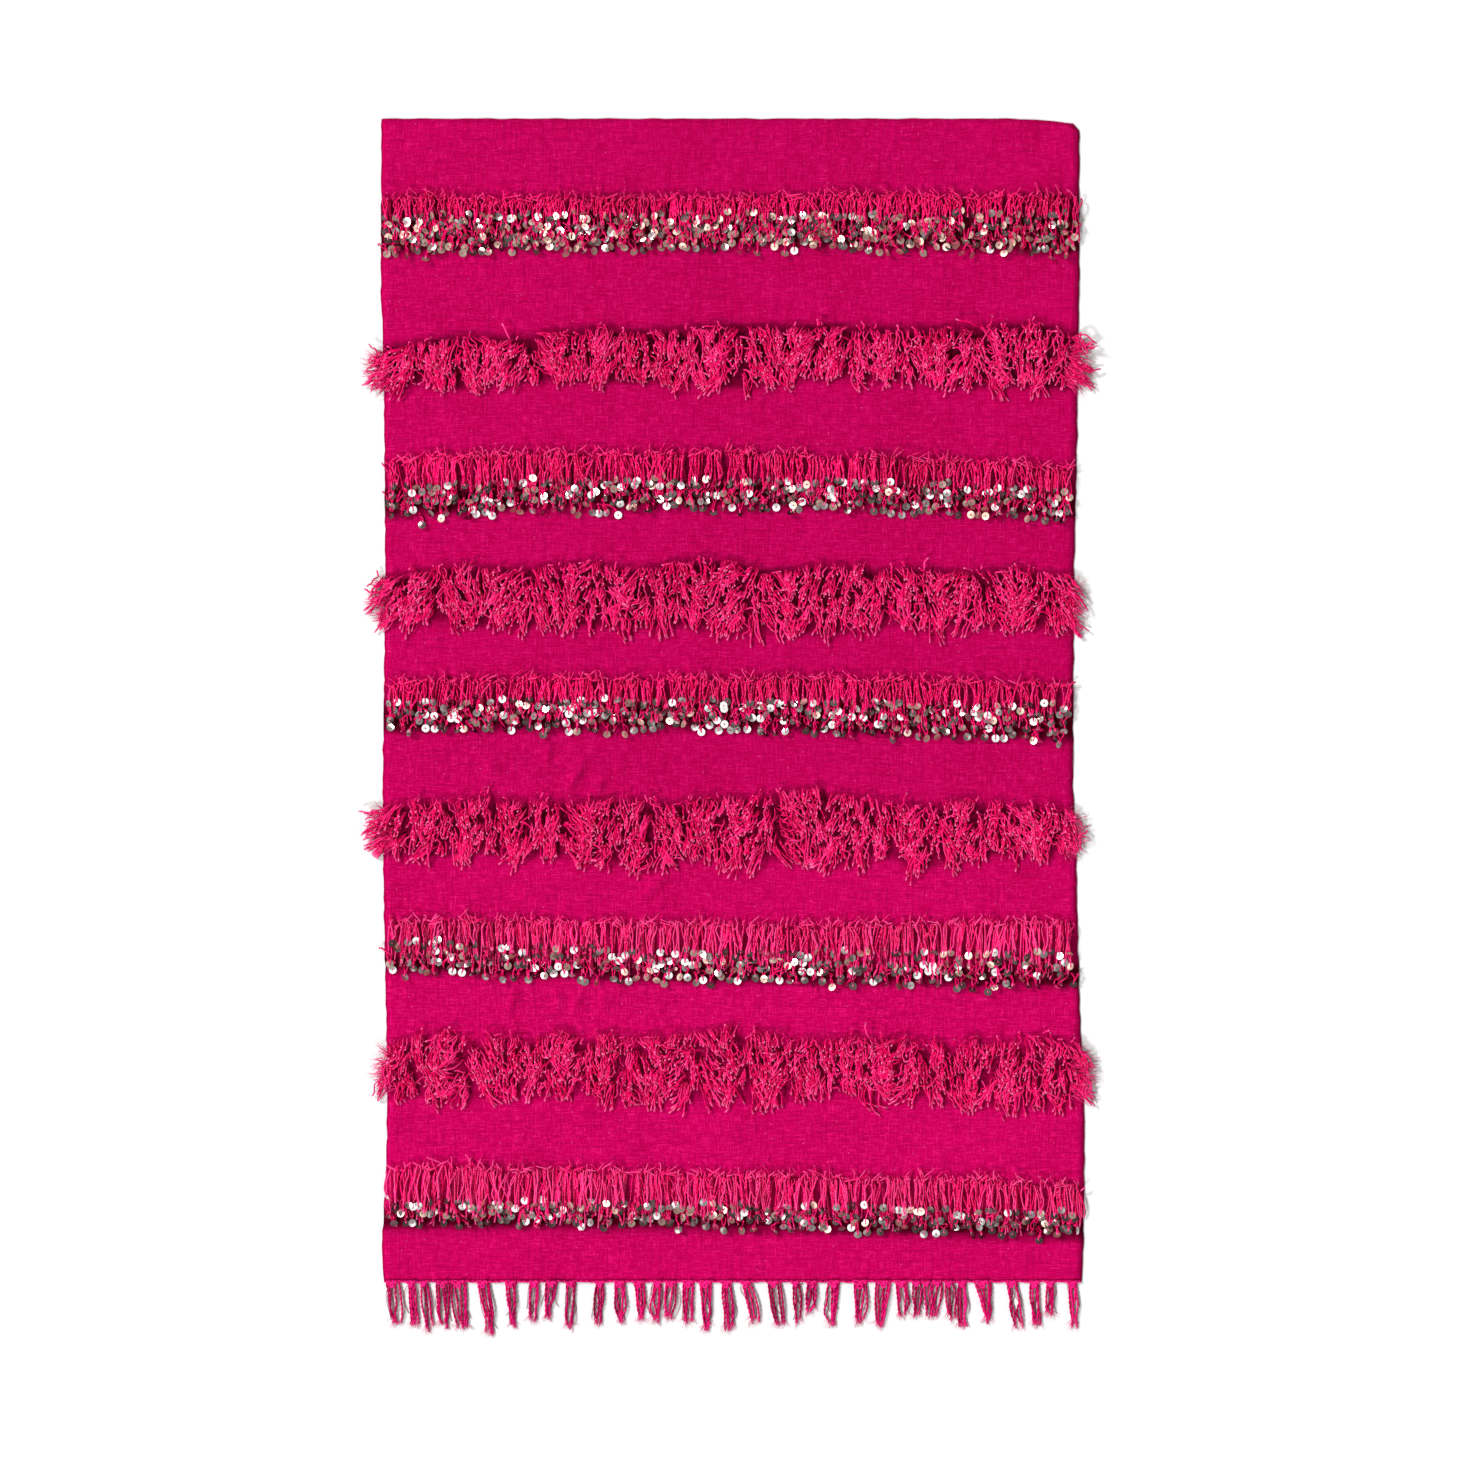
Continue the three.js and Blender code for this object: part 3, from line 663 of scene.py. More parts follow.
# %% [markdown]
# ## Shag
# A shag row is cut yarn knotted into the weave in five lines, one above the other. Each knot is a
# tuft of eight ends that fall the same way, and each line of tufts lies over the one below. So the
# strands are made tuft by tuft: a tuft has a root, a heading and a length, its strands start spread
# out and draw together towards their tips, and every strand sways a little on its way. A quarter of
# them are cut short and end on top of the pile, where their cut ends catch the light. The last
# tufts at either side fan out over the edge of the cloth. A strand is a tube with three sides,
# because there are thousands of them.

# %% Shag strands
SHAG = {
    "tufts": 62, "strands": 8, "steps": 8, "radius": 1.7 * MM, "fall": 30 * MM,
    "line_at": (0.30, 0.46, 0.63, 0.81, 1.0),
    "root": (3.3 * MM, 3.3 * MM, 4 * MM, 6 * MM, 9 * MM),
    "crest": (9 * MM, 11 * MM, 13 * MM, 15 * MM, 16 * MM),
    "tip": (4.5 * MM, 6 * MM, 7.5 * MM, 9 * MM, 10.5 * MM),
    "clump_gap": 42 * MM, "fan_reach": 42 * MM,
    "wild": 0.10, "rising": 0.07, "short": 0.26, "wisps": 200,
}
YARN_CLEARANCE = 3.1 * MM
# How far above its measured rim each row reaches, and how far its tufts are drawn into clumps
SHAG_ROWS = {1: (1 * MM, 1.5 * MM), 2: (1 * MM, 2.5 * MM), 3: (5 * MM, 4 * MM), 4: (9 * MM, 4 * MM)}


def shag_tufts(row, left_edge, right_edge, rng):
    """Roots, headings and reaches of a row's tufts. A tuft's line, 0 for the lowest, says how high
    on the row it is rooted. Headings wander along the row and fan outward at its two ends. Roots
    are drawn together into evenly spaced clumps that slant the way the tufts fall."""
    lines = len(SHAG["line_at"])
    count = lines * SHAG["tufts"]
    line = np.repeat(np.arange(lines), SHAG["tufts"])
    place = np.tile(np.arange(SHAG["tufts"]), lines) + 0.4 * (line % 2)
    place = (place + rng.uniform(-0.10, 0.70, count)) / SHAG["tufts"]
    x = left_edge + 3 * MM + (right_edge - left_edge - 6 * MM) * place
    top, foot = row["top"](x), row["foot"](x)
    y = foot + (top - foot) * np.take(SHAG["line_at"], line) + rng.normal(0, 3.0 * MM, count)
    to_end = np.minimum(x - left_edge, right_edge - x)
    fan = np.clip(1 - to_end / SHAG["fan_reach"], 0, 1) * np.where(x < 0, -1, 1)
    drift = 26 * wander(x, 120 * MM, rng.integers(99))
    heading = drift + rng.normal(0, 11, count) + 58 * fan
    along = x - (top - y) * np.tan(np.radians(drift))
    clump = np.sin(2 * np.pi * along / SHAG["clump_gap"] + 2.2 * wander(along, 110 * MM, 8))
    x = x - row["pull"] * clump * (1 - np.abs(fan))
    lobe = (9 * MM + row["pull"]) * (wander(x, 48 * MM, rng.integers(99)) - 0.5)
    lobe = lobe * rng.uniform(0.4, 1.1, count)
    fall = np.where(line == 0, y - foot - lobe, SHAG["fall"] * rng.uniform(0.75, 1.25, count))
    reach = fall / np.cos(np.radians(np.clip(np.abs(heading), 0, 50)))
    return line, x, y, heading, np.clip(reach, 18 * MM, 50 * MM)


def side_wisps(row, rng):
    """Fine loose ends that stand out past the cloth at both ends of a row, like a fan."""
    count = SHAG["wisps"]
    out = rng.choice([-1.0, 1.0], count)
    share = rng.uniform(0.08, 0.95, count)
    at_edge = np.where(out < 0, row["left"] + 34 * MM, row["right"] - 30 * MM)
    top, foot = row["top"](at_edge), row["foot"](at_edge)
    y = top - 5 * MM + (foot - top + 10 * MM) * share
    angle = np.radians(rng.normal(0, 24, count) + 34 * (0.45 - share))
    reach = rng.uniform(24, 46, count) * MM * (1 - 0.5 * np.abs(2 * share - 1) ** 2)
    root = xyz(at_edge - out * rng.uniform(2, 14, count) * MM, y, 4 * MM)
    ahead = xyz(out * np.cos(angle), np.sin(angle), 0.0)
    tip = root + reach[:, None] * ahead + np.array([0, 0, 1]) * rng.uniform(0, 8, (count, 1)) * MM
    over = root + 0.35 * reach[:, None] * ahead + np.array([0, 0, 9 * MM])
    over = over + rng.normal(0, 2 * MM, (count, 3))
    stray = rng.normal(0, 3 * MM, (count, 3)) * np.array([1, 1, 0.4])
    before = tip - 0.3 * reach[:, None] * ahead + stray
    paths = kept_above(bezier(root, over, before, tip, 6), 1.2 * MM)
    taper = np.interp(np.linspace(0, 1, 6), [0, 0.7, 1], [1, 0.9, 0.5])
    radius = rng.uniform(0.5, 0.85, count)[:, None] * MM * taper
    return tubes(paths, radius, 3, UP_CLOTH, rng.uniform(0.3, 1.0, count))


def shag_row(node, name, rise, pull, seed):
    """All strands of one shag row. A strand's path is its root, plus its reach along its heading,
    plus a sway to the side: a slow sine, and a quicker one of its own. Its height is an arch from
    root to tip, or for the short ones a rise that steepens towards the tip. A few are wild and
    point anywhere, and along the top line a few short ones stand up."""

    def of_tuft(values):
        """The same value for every strand of a tuft."""
        return np.repeat(values, SHAG["strands"])

    rng = np.random.default_rng(seed)
    measured = rims(node)
    row = measured | {"top": lambda x: measured["top"](x) + rise, "pull": pull}
    middle_y = (row["top"](0.0) + row["foot"](0.0)) / 2
    tufts = shag_tufts(row, left_side(middle_y), right_side(middle_y), rng)
    line, x, y, heading, reach = (of_tuft(values) for values in tufts)
    count, tuft_count = len(x), len(tufts[0])
    wild = rng.random(count) < SHAG["wild"]
    top_line = line == line.max()
    rising = top_line & (rng.random(count) < SHAG["rising"])
    spread_x = rng.normal(0, 5.2 * MM, count) * np.where(top_line, 1.3, 1)
    spread_y = rng.normal(0, 3.4 * MM, count) * np.where(top_line, 0.5, 1)
    angle = np.radians(heading - 90) + np.radians(rng.normal(0, 10, count)) - spread_x / (60 * MM)
    angle += np.where(wild, np.radians(rng.normal(0, 50, count)), 0)
    angle = np.where(rising, np.radians(rng.normal(90, 50, count)), angle)
    length = reach * rng.uniform(0.66, 1.08, count) * np.where(wild, 0.8, 1)
    short = (rng.random(count) < SHAG["short"]) & (line > 0)
    length = np.where(short, length * rng.uniform(0.45, 0.75, count), length)
    length = np.where(rising, rng.uniform(6, 13, count) * MM, length)
    room_x = np.where(np.cos(angle) > 0, row["right"] - x, x - row["left"])
    room = np.maximum(12 * MM, room_x / np.maximum(np.abs(np.cos(angle)), 0.05))
    length = np.minimum(length, room)

    t = np.linspace(0, 1, SHAG["steps"])[None, :]
    ahead = np.stack([np.cos(angle), np.sin(angle)], -1)
    side = np.stack([-ahead[:, 1], ahead[:, 0]], -1)
    shared = of_tuft(rng.uniform(0, 2 * np.pi, tuft_count))
    start = (shared + rng.normal(0, 0.5, count))[:, None]
    waves = (1.3 + 0.5 * np.cos(shared) + rng.uniform(-0.2, 0.2, count))[:, None]
    lean = np.minimum(1, length / (30 * MM))[:, None]
    amount = of_tuft(np.abs(rng.normal(0, 2.2 * MM, tuft_count)))[:, None] * lean
    sway = amount * (np.sin(np.pi * waves * t + start) - np.sin(start))
    crimp = rng.normal(0, 1.9 * MM, count)[:, None] * lean
    turns = rng.uniform(2.2, 3.6, count)[:, None]
    begins = rng.uniform(0, 6.28, count)[:, None]
    sway = sway + crimp * np.sin(np.pi * turns * t + begins) * np.sin(np.pi * t) ** 0.5
    root = np.stack([x + spread_x, y + spread_y], -1)
    flat = root[:, None, :] + length[:, None, None] * t[..., None] * ahead[:, None, :]
    flat = flat + sway[..., None] * side[:, None, :]

    crest = np.take(SHAG["crest"], line) + rng.normal(0, 1.7 * MM, count) + 2 * MM * wild
    tip = np.take(SHAG["tip"], line) + rng.uniform(0, 3.2, count) * MM
    tip = np.where(short, crest + rng.uniform(-1, 3.5, count) * MM, tip)
    tip = np.where(rising, rng.uniform(6, 14, count) * MM, tip)
    root_z = np.take(SHAG["root"], line)
    arch = (crest - (root_z + tip) / 2)[:, None] * np.sin(np.pi * t**0.7)
    height = root_z[:, None] * (1 - t) + tip[:, None] * t + arch
    standing = root_z[:, None] + (tip - root_z)[:, None] * t**1.5
    height = np.where(short[:, None], standing, height)
    height = height + 0.7 * MM * np.sin(2 * np.pi * waves * t + 2 * start) * np.sin(np.pi * t)
    paths = kept_above(np.concatenate([flat, height[..., None]], -1), YARN_CLEARANCE)

    radius = SHAG["radius"] * rng.uniform(0.82, 1.12, count)[:, None]
    swell = np.interp(t[0], [0, 0.15, 0.8, 0.95, 1], [0.7, 0.95, 0.95, 1.15, 0.9])[None, :]
    tint = 0.15 * of_tuft(rng.uniform(0, 1, tuft_count))
    tint = tint + 0.85 * rng.random(count)
    made = tubes(paths, radius * swell, 3, xyz(side[:, 0], side[:, 1], 0.0), tint)
    return yarn_piece(name, [made, side_wisps(row, rng)], shag_wool)


for i in range(1, 5):
    pile = shag_row(f"shag_{i}", f"shag_pile_{i}", *SHAG_ROWS[i], 40 + i)
    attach(pile, "root")
    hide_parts(f"shag_{i}")

# %% [markdown]
# ## Sequins
# The sequins are thin metal discs, about 12 mm across, slightly dished, each with a small hole in
# the middle. They hang from the loops in overlapping lines. A disc is three rings of corners: the
# outer rim and the two sides of the hole, so that it is a closed wedge with a thin edge. Each has
# its own tilt, and most lie at a slant on the ones below.

# %% Sequin metal
# Where each finish begins on the scale from 0 to 1 of the discs' attribute, and its colour. The grey
# and dark ones are darker copies of the silver, painted to stand in for discs that reflect the dim
# room
FINISHES_AND_PAINTED_REFLECTIONS = {
    "bright": (0.0, (0.84, 0.83, 0.82, 1)),
    "silver": (0.2, (0.70, 0.69, 0.68, 1)),
    "grey": (0.4, (0.36, 0.33, 0.31, 1)),
    "dark": (0.6, (0.16, 0.13, 0.12, 1)),
    "champagne": (0.8, (0.60, 0.455, 0.37, 1)),
}

sequin_metal, tree, shader = new_material("sequin_metal", Metallic=1.0)
finish_and_painted_reflection = add(tree, "Attribute", attribute_name="finish_and_painted_reflection").outputs["Fac"]
# Grey and dark are painted reflection: darker copies of the silver for discs that reflect the dim room
ramp = add(tree, "ValToRGB", {"Fac": finish_and_painted_reflection})
ramp.color_ramp.interpolation = "CONSTANT"
for begins, _ in list(FINISHES_AND_PAINTED_REFLECTIONS.values())[2:]:
    ramp.color_ramp.elements.new(begins)
for element, (begins, metal) in zip(ramp.color_ramp.elements, FINISHES_AND_PAINTED_REFLECTIONS.values()):
    element.position = begins
    element.color = metal
place = add(tree, "TexCoord").outputs["Object"]
TARNISH = (0.30, 0.22, 0.18, 1)
tarnish = add(tree, "TexNoise", {"Vector": place, "Scale": 160.0, "Detail": 4.0})
dulled = remapped(tree, tarnish.outputs[0], 0.48, 0.72, 0.0, 0.35)
colour = mixed(tree, dulled, ramp.outputs["Color"], TARNISH)
tree.links.new(colour, shader.inputs["Base Color"])
scratches = add(tree, "TexNoise", {"Vector": place, "Scale": 900.0, "Detail": 2.0})
rubbed = remapped(tree, scratches.outputs[0], 0.35, 0.7, 0.14, 0.32)
worn = remapped(tree, finish_and_painted_reflection, 0.79, 0.81, 0.0, 0.24)
tree.links.new(computed(tree, "ADD", rubbed, worn), shader.inputs["Roughness"])
dent = add(tree, "Bump", {"Height": tarnish.outputs[0], "Strength": 0.15, "Distance": 0.3 * MM})
tree.links.new(dent.outputs["Normal"], shader.inputs["Normal"])

# %% Sequin discs
SEQUIN = {"radius": 6.25 * MM, "hole": 1.4 * MM, "sides": 12, "dish": 0.45 * MM, "thick": 0.35 * MM}
# The share of all discs that lie steep, and the share of the lowest line's that hang loose
STEEP, LOOSE = 0.26, 0.25
# Share of each finish in each row, the painted grey and dark ones included, in the order of the
# finishes above
FINISH_AND_REFLECTION_SHARES = {
    1: (0.04, 0.05, 0.16, 0.25, 0.50),
    2: (0.17, 0.08, 0.24, 0.34, 0.17),
    3: (0.23, 0.09, 0.22, 0.30, 0.16),
    4: (0.25, 0.10, 0.20, 0.29, 0.16),
    5: (0.14, 0.07, 0.24, 0.36, 0.19),
}
# How far beyond its measured rims each row's yarn starts, its first discs start and its last end,
# how far apart its discs are, and how pale its yarn
ROW_REACH = {
    1: {"yarn": 3 * MM, "first": -14 * MM, "last": -1 * MM, "apart": 15 * MM, "pale": 0.55},
    2: {"yarn": 0 * MM, "first": -6 * MM, "last": -2 * MM, "apart": 15 * MM, "pale": 0.65},
    3: {"yarn": 3 * MM, "first": -4 * MM, "last": -5 * MM, "apart": 15 * MM, "pale": 0.65},
    4: {"yarn": 10 * MM, "first": 8 * MM, "last": -7 * MM, "apart": 13.4 * MM, "pale": 1.0},
    5: {"yarn": 8 * MM, "first": 3 * MM, "last": -14 * MM, "apart": 15 * MM, "pale": 1.0},
}


def sequin_places(node, row_number, rng):
    """Centre, facing and finish of each disc, whose grey and dark finishes are painted reflection.
    Lines of discs run along the row, shifted against each other, and every disc strays a little.
    Bright ones lie flattest."""
    row, reach = rims(node), ROW_REACH[row_number]
    low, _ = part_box(node)
    depth = row["top"](0.0) - row["foot"](0.0)
    lines = max(4, round(depth / (9.5 * MM)))
    columns = round((row["right"] - row["left"]) / reach["apart"])
    count = lines * columns
    line = np.repeat(np.arange(lines), columns)
    column = np.tile(np.arange(columns), lines)
    share = (column + 0.5 * (line % 2) + 0.25 + rng.uniform(-0.32, 0.32, count)) / columns
    x = row["left"] + 5 * MM + (row["right"] - row["left"] - 12 * MM) * np.clip(share, 0, 1)
    down = line / (lines - 1)
    start, end = row["top"](x) + reach["first"], row["foot"](x) - reach["last"]
    y = start + (end - start) * down + rng.normal(0, 3.6 * MM, count)
    loose = (line == lines - 1) & (rng.random(count) < LOOSE)
    y = np.where(loose, y - rng.uniform(1, 7, count) * MM, y)

    shares = np.array(FINISH_AND_REFLECTION_SHARES[row_number])
    kind = rng.choice(len(shares), count, p=shares / shares.sum())
    tilt = np.where(kind == 0, rng.uniform(0, 9, count), rng.uniform(12, 50, count))
    tilt = np.where(rng.random(count) < STEEP, rng.uniform(42, 72, count), tilt)
    way = rng.uniform(0, 2 * np.pi, count)
    tilt = np.radians(tilt)
    facing = xyz(np.sin(tilt) * np.cos(way), np.sin(tilt) * np.sin(way), np.cos(tilt))
    lift = 0.55 * SEQUIN["radius"] * np.sin(tilt) + rng.uniform(0.2, 1.8, count) * MM
    centre = xyz(x, y, low.z + (lift + 4.5 * MM * (1 - down)))
    return centre, facing, (kind + 0.5) / len(shares), down


def sequin_row(node, name, row_number, seed):
    """All discs of one row. A corner is centre + ring radius * (cos(turn) * across + sin(turn) *
    level) + ring height * facing, for the rings rim, hole top and hole foot in turn."""
    rng = np.random.default_rng(seed)
    centre, facing, finish_and_painted_reflection, down = sequin_places(node, row_number, rng)
    count, sides = len(centre), SEQUIN["sides"]
    across = unit(np.cross(facing, xyz(np.cos(finish_and_painted_reflection), np.sin(finish_and_painted_reflection), 0.3)))
    level = np.cross(facing, across)
    turn = 2 * np.pi * np.arange(sides) / sides
    ring_radius = np.array([SEQUIN["radius"], SEQUIN["hole"], SEQUIN["hole"]])
    dish = SEQUIN["dish"] * rng.choice([-1, 1], count)
    ring_height = np.stack([dish, np.zeros(count), np.full(count, -SEQUIN["thick"])], -1)
    swing = np.cos(turn)[:, None] * across[:, None, :] + np.sin(turn)[:, None] * level[:, None, :]
    points = centre[:, None, None, :] + ring_radius[None, :, None, None] * swing[:, None, :, :]
    points = points + ring_height[:, :, None, None] * facing[:, None, None, :]

    number = np.arange(count * 3 * sides).reshape(count, 3, sides)
    inner = np.roll(number, -1, 1)
    quads = np.stack([number, np.roll(number, -1, 2), np.roll(inner, -1, 2), inner], -1)
    quads = quads.reshape(-1, 4)
    uv = np.tile([[0, 0], [1, 0], [1, 1], [0, 1]], (len(quads), 1))
    piece = new_piece(name, points.reshape(-1, 3), quads, NO_TRIANGLES, uv, sequin_metal)
    add_attribute(piece, "finish_and_painted_reflection", np.repeat(finish_and_painted_reflection, 3 * sides))
    ends = np.empty(2 * len(piece.data.edges), np.int32)
    piece.data.edges.foreach_get("vertices", ends)
    ring_of = ends.reshape(-1, 2) // sides
    crisp = piece.data.attributes.new("sharp_edge", "BOOLEAN", "EDGE")
    crisp.data.foreach_set("value", ring_of[:, 0] == ring_of[:, 1])
    return piece, centre, facing, down


# %% [markdown]
# ## Loops
# Every sequin hangs on a doubled yarn that comes out of the weave, arches over and falls to the
# hole, over the upper half of its disc. The upper discs hang from the row's upper edge, and the
# others from places further down, a short way above each disc. So the loops are made from the
# sequins: each disc gets two yarns that start a few millimetres apart and meet in its hole. Their
# paths are cubic curves with four control points. Short ends stand up along the edge, and some
# plain loops fill the row behind.


# %% Loop yarn
# The share of discs that hang by yarns from behind, and how many plain loops and short ends
LOOPS = {"from_behind": 0.4, "fillers": 250, "short_ends": 250}


def loop_strands(rim, centre, facing, down, rng):
    """The doubled yarns: two for each disc, from the row's edge or a place above the disc to its
    hole, where they come in over the disc or from behind it."""
    centre, facing, down = (np.repeat(values, 2, axis=0) for values in (centre, facing, down))
    count = len(centre)
    pair = np.tile([-1.0, 1.0], count // 2)
    slant = np.repeat(rng.normal(0, 6 * MM, count // 2), 2)
    behind = np.where(rng.random(count // 2) < LOOPS["from_behind"], -1.0, 1.0)
    behind = np.repeat(behind, 2)
    x = centre[:, 0] + slant + pair * rng.uniform(1, 3.6, count) * MM
    edge = rim["top"](x) - rng.uniform(0, 13, count) * MM
    above = centre[:, 1] + np.repeat(rng.uniform(12, 24, count // 2), 2) * MM
    edge = np.where(down < 0.4, edge, np.minimum(edge, above))
    root = xyz(x, edge, rng.uniform(4, 8, count) * MM)
    crest = (rng.uniform(8, 11, count) + 4.5 * (1 - down)) * MM
    over = xyz(x + rng.normal(0, 5 * MM, count), edge + rng.uniform(2, 13, count) * MM, crest)
    lead = np.array(UP_CLOTH)
    lead = unit(lead - (lead * facing).sum(-1, keepdims=True) * facing)
    before = centre + 11 * MM * lead + (2.4 * MM * behind)[:, None] * facing
    before[:, 0] += pair * 1.2 * MM
    into = centre + (0.9 * MM * np.minimum(behind, -0.4))[:, None] * facing
    paths = bezier(root, over, before, into, 8)
    t = np.linspace(0, 1, 8)[None, :]
    bend = rng.normal(0, 2.8 * MM, count)[:, None]
    turns = rng.uniform(1, 3, count)[:, None]
    paths[:, :, 0] += bend * np.sin(np.pi * turns * t) * np.sin(np.pi * t)
    crinkle = rng.normal(0, 1.3 * MM, count)[:, None]
    turns = rng.uniform(3, 5.5, count)[:, None]
    paths[:, :, 0] += crinkle * np.sin(np.pi * turns * t) * np.sin(np.pi * t) ** 0.5
    paths[:, :, 2] -= 1.2 * MM * down[:, None] * t * np.sin(np.pi * t)
    return kept_above(paths, YARN_CLEARANCE)


def filler_strands(rim, mat, amount, rng):
    """Plain loops behind the sequins, from the edge of the row down to somewhere under the discs."""
    x = rng.uniform(rim["left"] + 5 * MM, rim["right"] - 5 * MM, amount)
    edge = rim["top"](x) - rng.uniform(0, 13, amount) * MM
    root = xyz(x, edge, rng.uniform(4, 7, amount) * MM)
    rise = xyz(rng.normal(0, 4, amount), rng.uniform(4, 12, amount), rng.uniform(4, 8, amount))
    share = rng.uniform(0.05, 1.0, amount) ** 1.4
    end_y = mat["top"](x) + (mat["foot"](x) + 6 * MM - mat["top"](x)) * share
    on_top = rng.random(amount) < 0.3
    end_z = np.where(on_top, rng.uniform(7, 10, amount), rng.uniform(3.4, 6, amount)) * MM
    end = xyz(x + rng.normal(0, 7 * MM, amount), end_y, end_z)
    lead = xyz(rng.normal(0, 4, amount), 12, 2)
    return bezier(root, root + rise * MM, end + lead * MM, end, 6)


def short_ends(rim, amount, rng):
    """Short curly ends that stand up along the edge of the row."""
    x = rng.uniform(rim["left"] + 4 * MM, rim["right"] - 4 * MM, amount)
    edge = rim["top"](x) - rng.uniform(3, 11, amount) * MM
    root = xyz(x, edge, rng.uniform(6, 10, amount) * MM)
    rise = np.clip(rng.normal(9, 4.5, amount), 2, 20) * MM
    lean = rng.normal(0, 6.5 * MM, amount)
    tip = root + xyz(lean * 1.4, rise, rng.uniform(-1, 4, amount) * MM)
    over = root + xyz(lean * -0.4, 0.3 * rise, 4 * MM)
    before = tip + xyz(lean * 0.2 + rng.normal(0, 3 * MM, amount), -0.1 * rise, 2 * MM)
    return bezier(root, over, before, tip, 6)


def tubes_of(paths, thickness, taper, palest, rng):
    """Three-sided yarn along paths that fall down or rise up the blanket, each with a tint of its
    own up to the palest given."""
    count, steps, _ = paths.shape
    radius = thickness * rng.uniform(0.85, 1.12, count)[:, None]
    radius = radius * np.interp(np.linspace(0, 1, steps), *taper)
    return tubes(paths, radius, 3, ACROSS_CLOTH, palest * rng.uniform(0.35, 1, count))


def loop_row(node, mat_node, name, discs, row_number, seed):
    """One row of loops: the yarns of its sequins, the filling behind and the short ends."""
    rng = np.random.default_rng(seed)
    measured = rims(node)
    rim = measured | {"top": lambda x: measured["top"](x) + ROW_REACH[row_number]["yarn"]}
    even = ([0, 0.1, 1], [0.8, 1.0, 0.95])
    nub = ([0, 0.7, 0.9, 1], [0.9, 1.0, 1.15, 0.7])
    pale = ROW_REACH[row_number]["pale"]
    down = np.repeat(discs[-1], 2)
    hung = loop_strands(rim, *discs, rng)
    # Painted shade: the yarn over the lower discs has a lower tint, so it is deeper
    hung = tubes_of(hung, 1.55 * MM, even, pale * (1 - 0.55 * down), rng)
    filling = filler_strands(rim, rims(mat_node), LOOPS["fillers"], rng)
    filling = tubes_of(filling, 1.6 * MM, even, 0.8 * pale, rng)
    ends = short_ends(rim, LOOPS["short_ends"], rng)
    ends = tubes_of(ends, 1.4 * MM, nub, min(1, 1.2 * pale), rng)
    return yarn_piece(name, [hung, filling, ends], loop_wool)


for i in range(1, 6):
    discs, *hung = sequin_row(f"sequins_{i}", f"sequin_row_{i}", i, 70 + i)
    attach(discs, "root")
    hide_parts(f"sequins_{i}")
    loops = loop_row(f"loops_{i}", f"sequins_{i}", f"loop_yarn_{i}", hung, i, 90 + i)
    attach(loops, "root")
    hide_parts(f"loops_{i}")

# %% [markdown]
# ## Fringe
# Below the hem the warp ends are gathered into tassels. A twined cord runs along the hem, each
# tassel is knotted just under it, and its yarns hang loose below: two plies twisted round each
# other, drawing together towards the tip, where the fibres fray. A ply is a tube whose path winds
# round the yarn's own line: line + ply offset * (cos(wind) * beside + sin(wind) * up).

# %% Fringe sizes
# Each tassel's place along the hem, length, drift of its tip and width, in millimetres
TASSELS = np.array([
    (-537, 68, 5, 14), (-507, 69, 6, 12), (-487, 79, 9, 10), (-457, 74, 2, 16), (-432, 74, 8, 18),
    (-394, 84, 14, 15), (-350, 76, 3, 14), (-313, 65, -2, 13), (-285, 58, -6, 12), (-255, 79, -3, 12),
    (-209, 69, 0, 13), (-178, 65, 3, 14), (-148, 65, 3, 14), (-118, 65, -2, 12), (-97, 62, -5, 13),
    (-70, 66, -2, 15), (-43, 77, 2, 16), (-10, 77, 6, 16), (20, 66, 16, 14), (65, 73, 11, 13),
    (99, 66, 3, 11), (125, 47, -5, 15), (160, 69, -2, 15), (201, 65, -2, 20), (238, 71, -6, 15),
    (266, 55, 2, 14), (290, 55, 0, 10), (306, 55, 4, 10), (323, 54, -5, 10), (341, 60, 3, 11),
    (362, 79, 2, 13), (394, 66, 8, 17), (440, 74, 9, 13), (476, 73, 2, 14), (501, 55, 0, 12),
    (536, 73, 2, 14),
]) * MM
PLY = {"radius": 1.3 * MM, "offset": 1.05 * MM, "pitch": 16 * MM, "steps": 19}
HEM_CORD = {
    "radius": 1.5 * MM, "offset": 1.1 * MM, "pitch": 9 * MM, "steps": 421,
    "below": 0.2 * MM, "height": 3.2 * MM,
}
hem_y = cloth_low.y


# %% Fringe
def wound(lines, sideways, offset, pitch, phase):
    """Paths that wind round given lines at an offset, with one turn for each pitch of length."""
    walked = np.linalg.norm(np.diff(lines, axis=1), axis=-1).cumsum(1)
    wind = 2 * np.pi * np.pad(walked, ((0, 0), (1, 0))) / pitch + phase[:, None]
    ahead = unit(np.gradient(lines, axis=1))
    beside = unit(np.cross(np.cross(ahead, sideways), ahead))
    upward = np.cross(ahead, beside)
    swing = np.cos(wind)[..., None] * beside + np.sin(wind)[..., None] * upward
    return lines + np.asarray(offset)[..., None] * swing


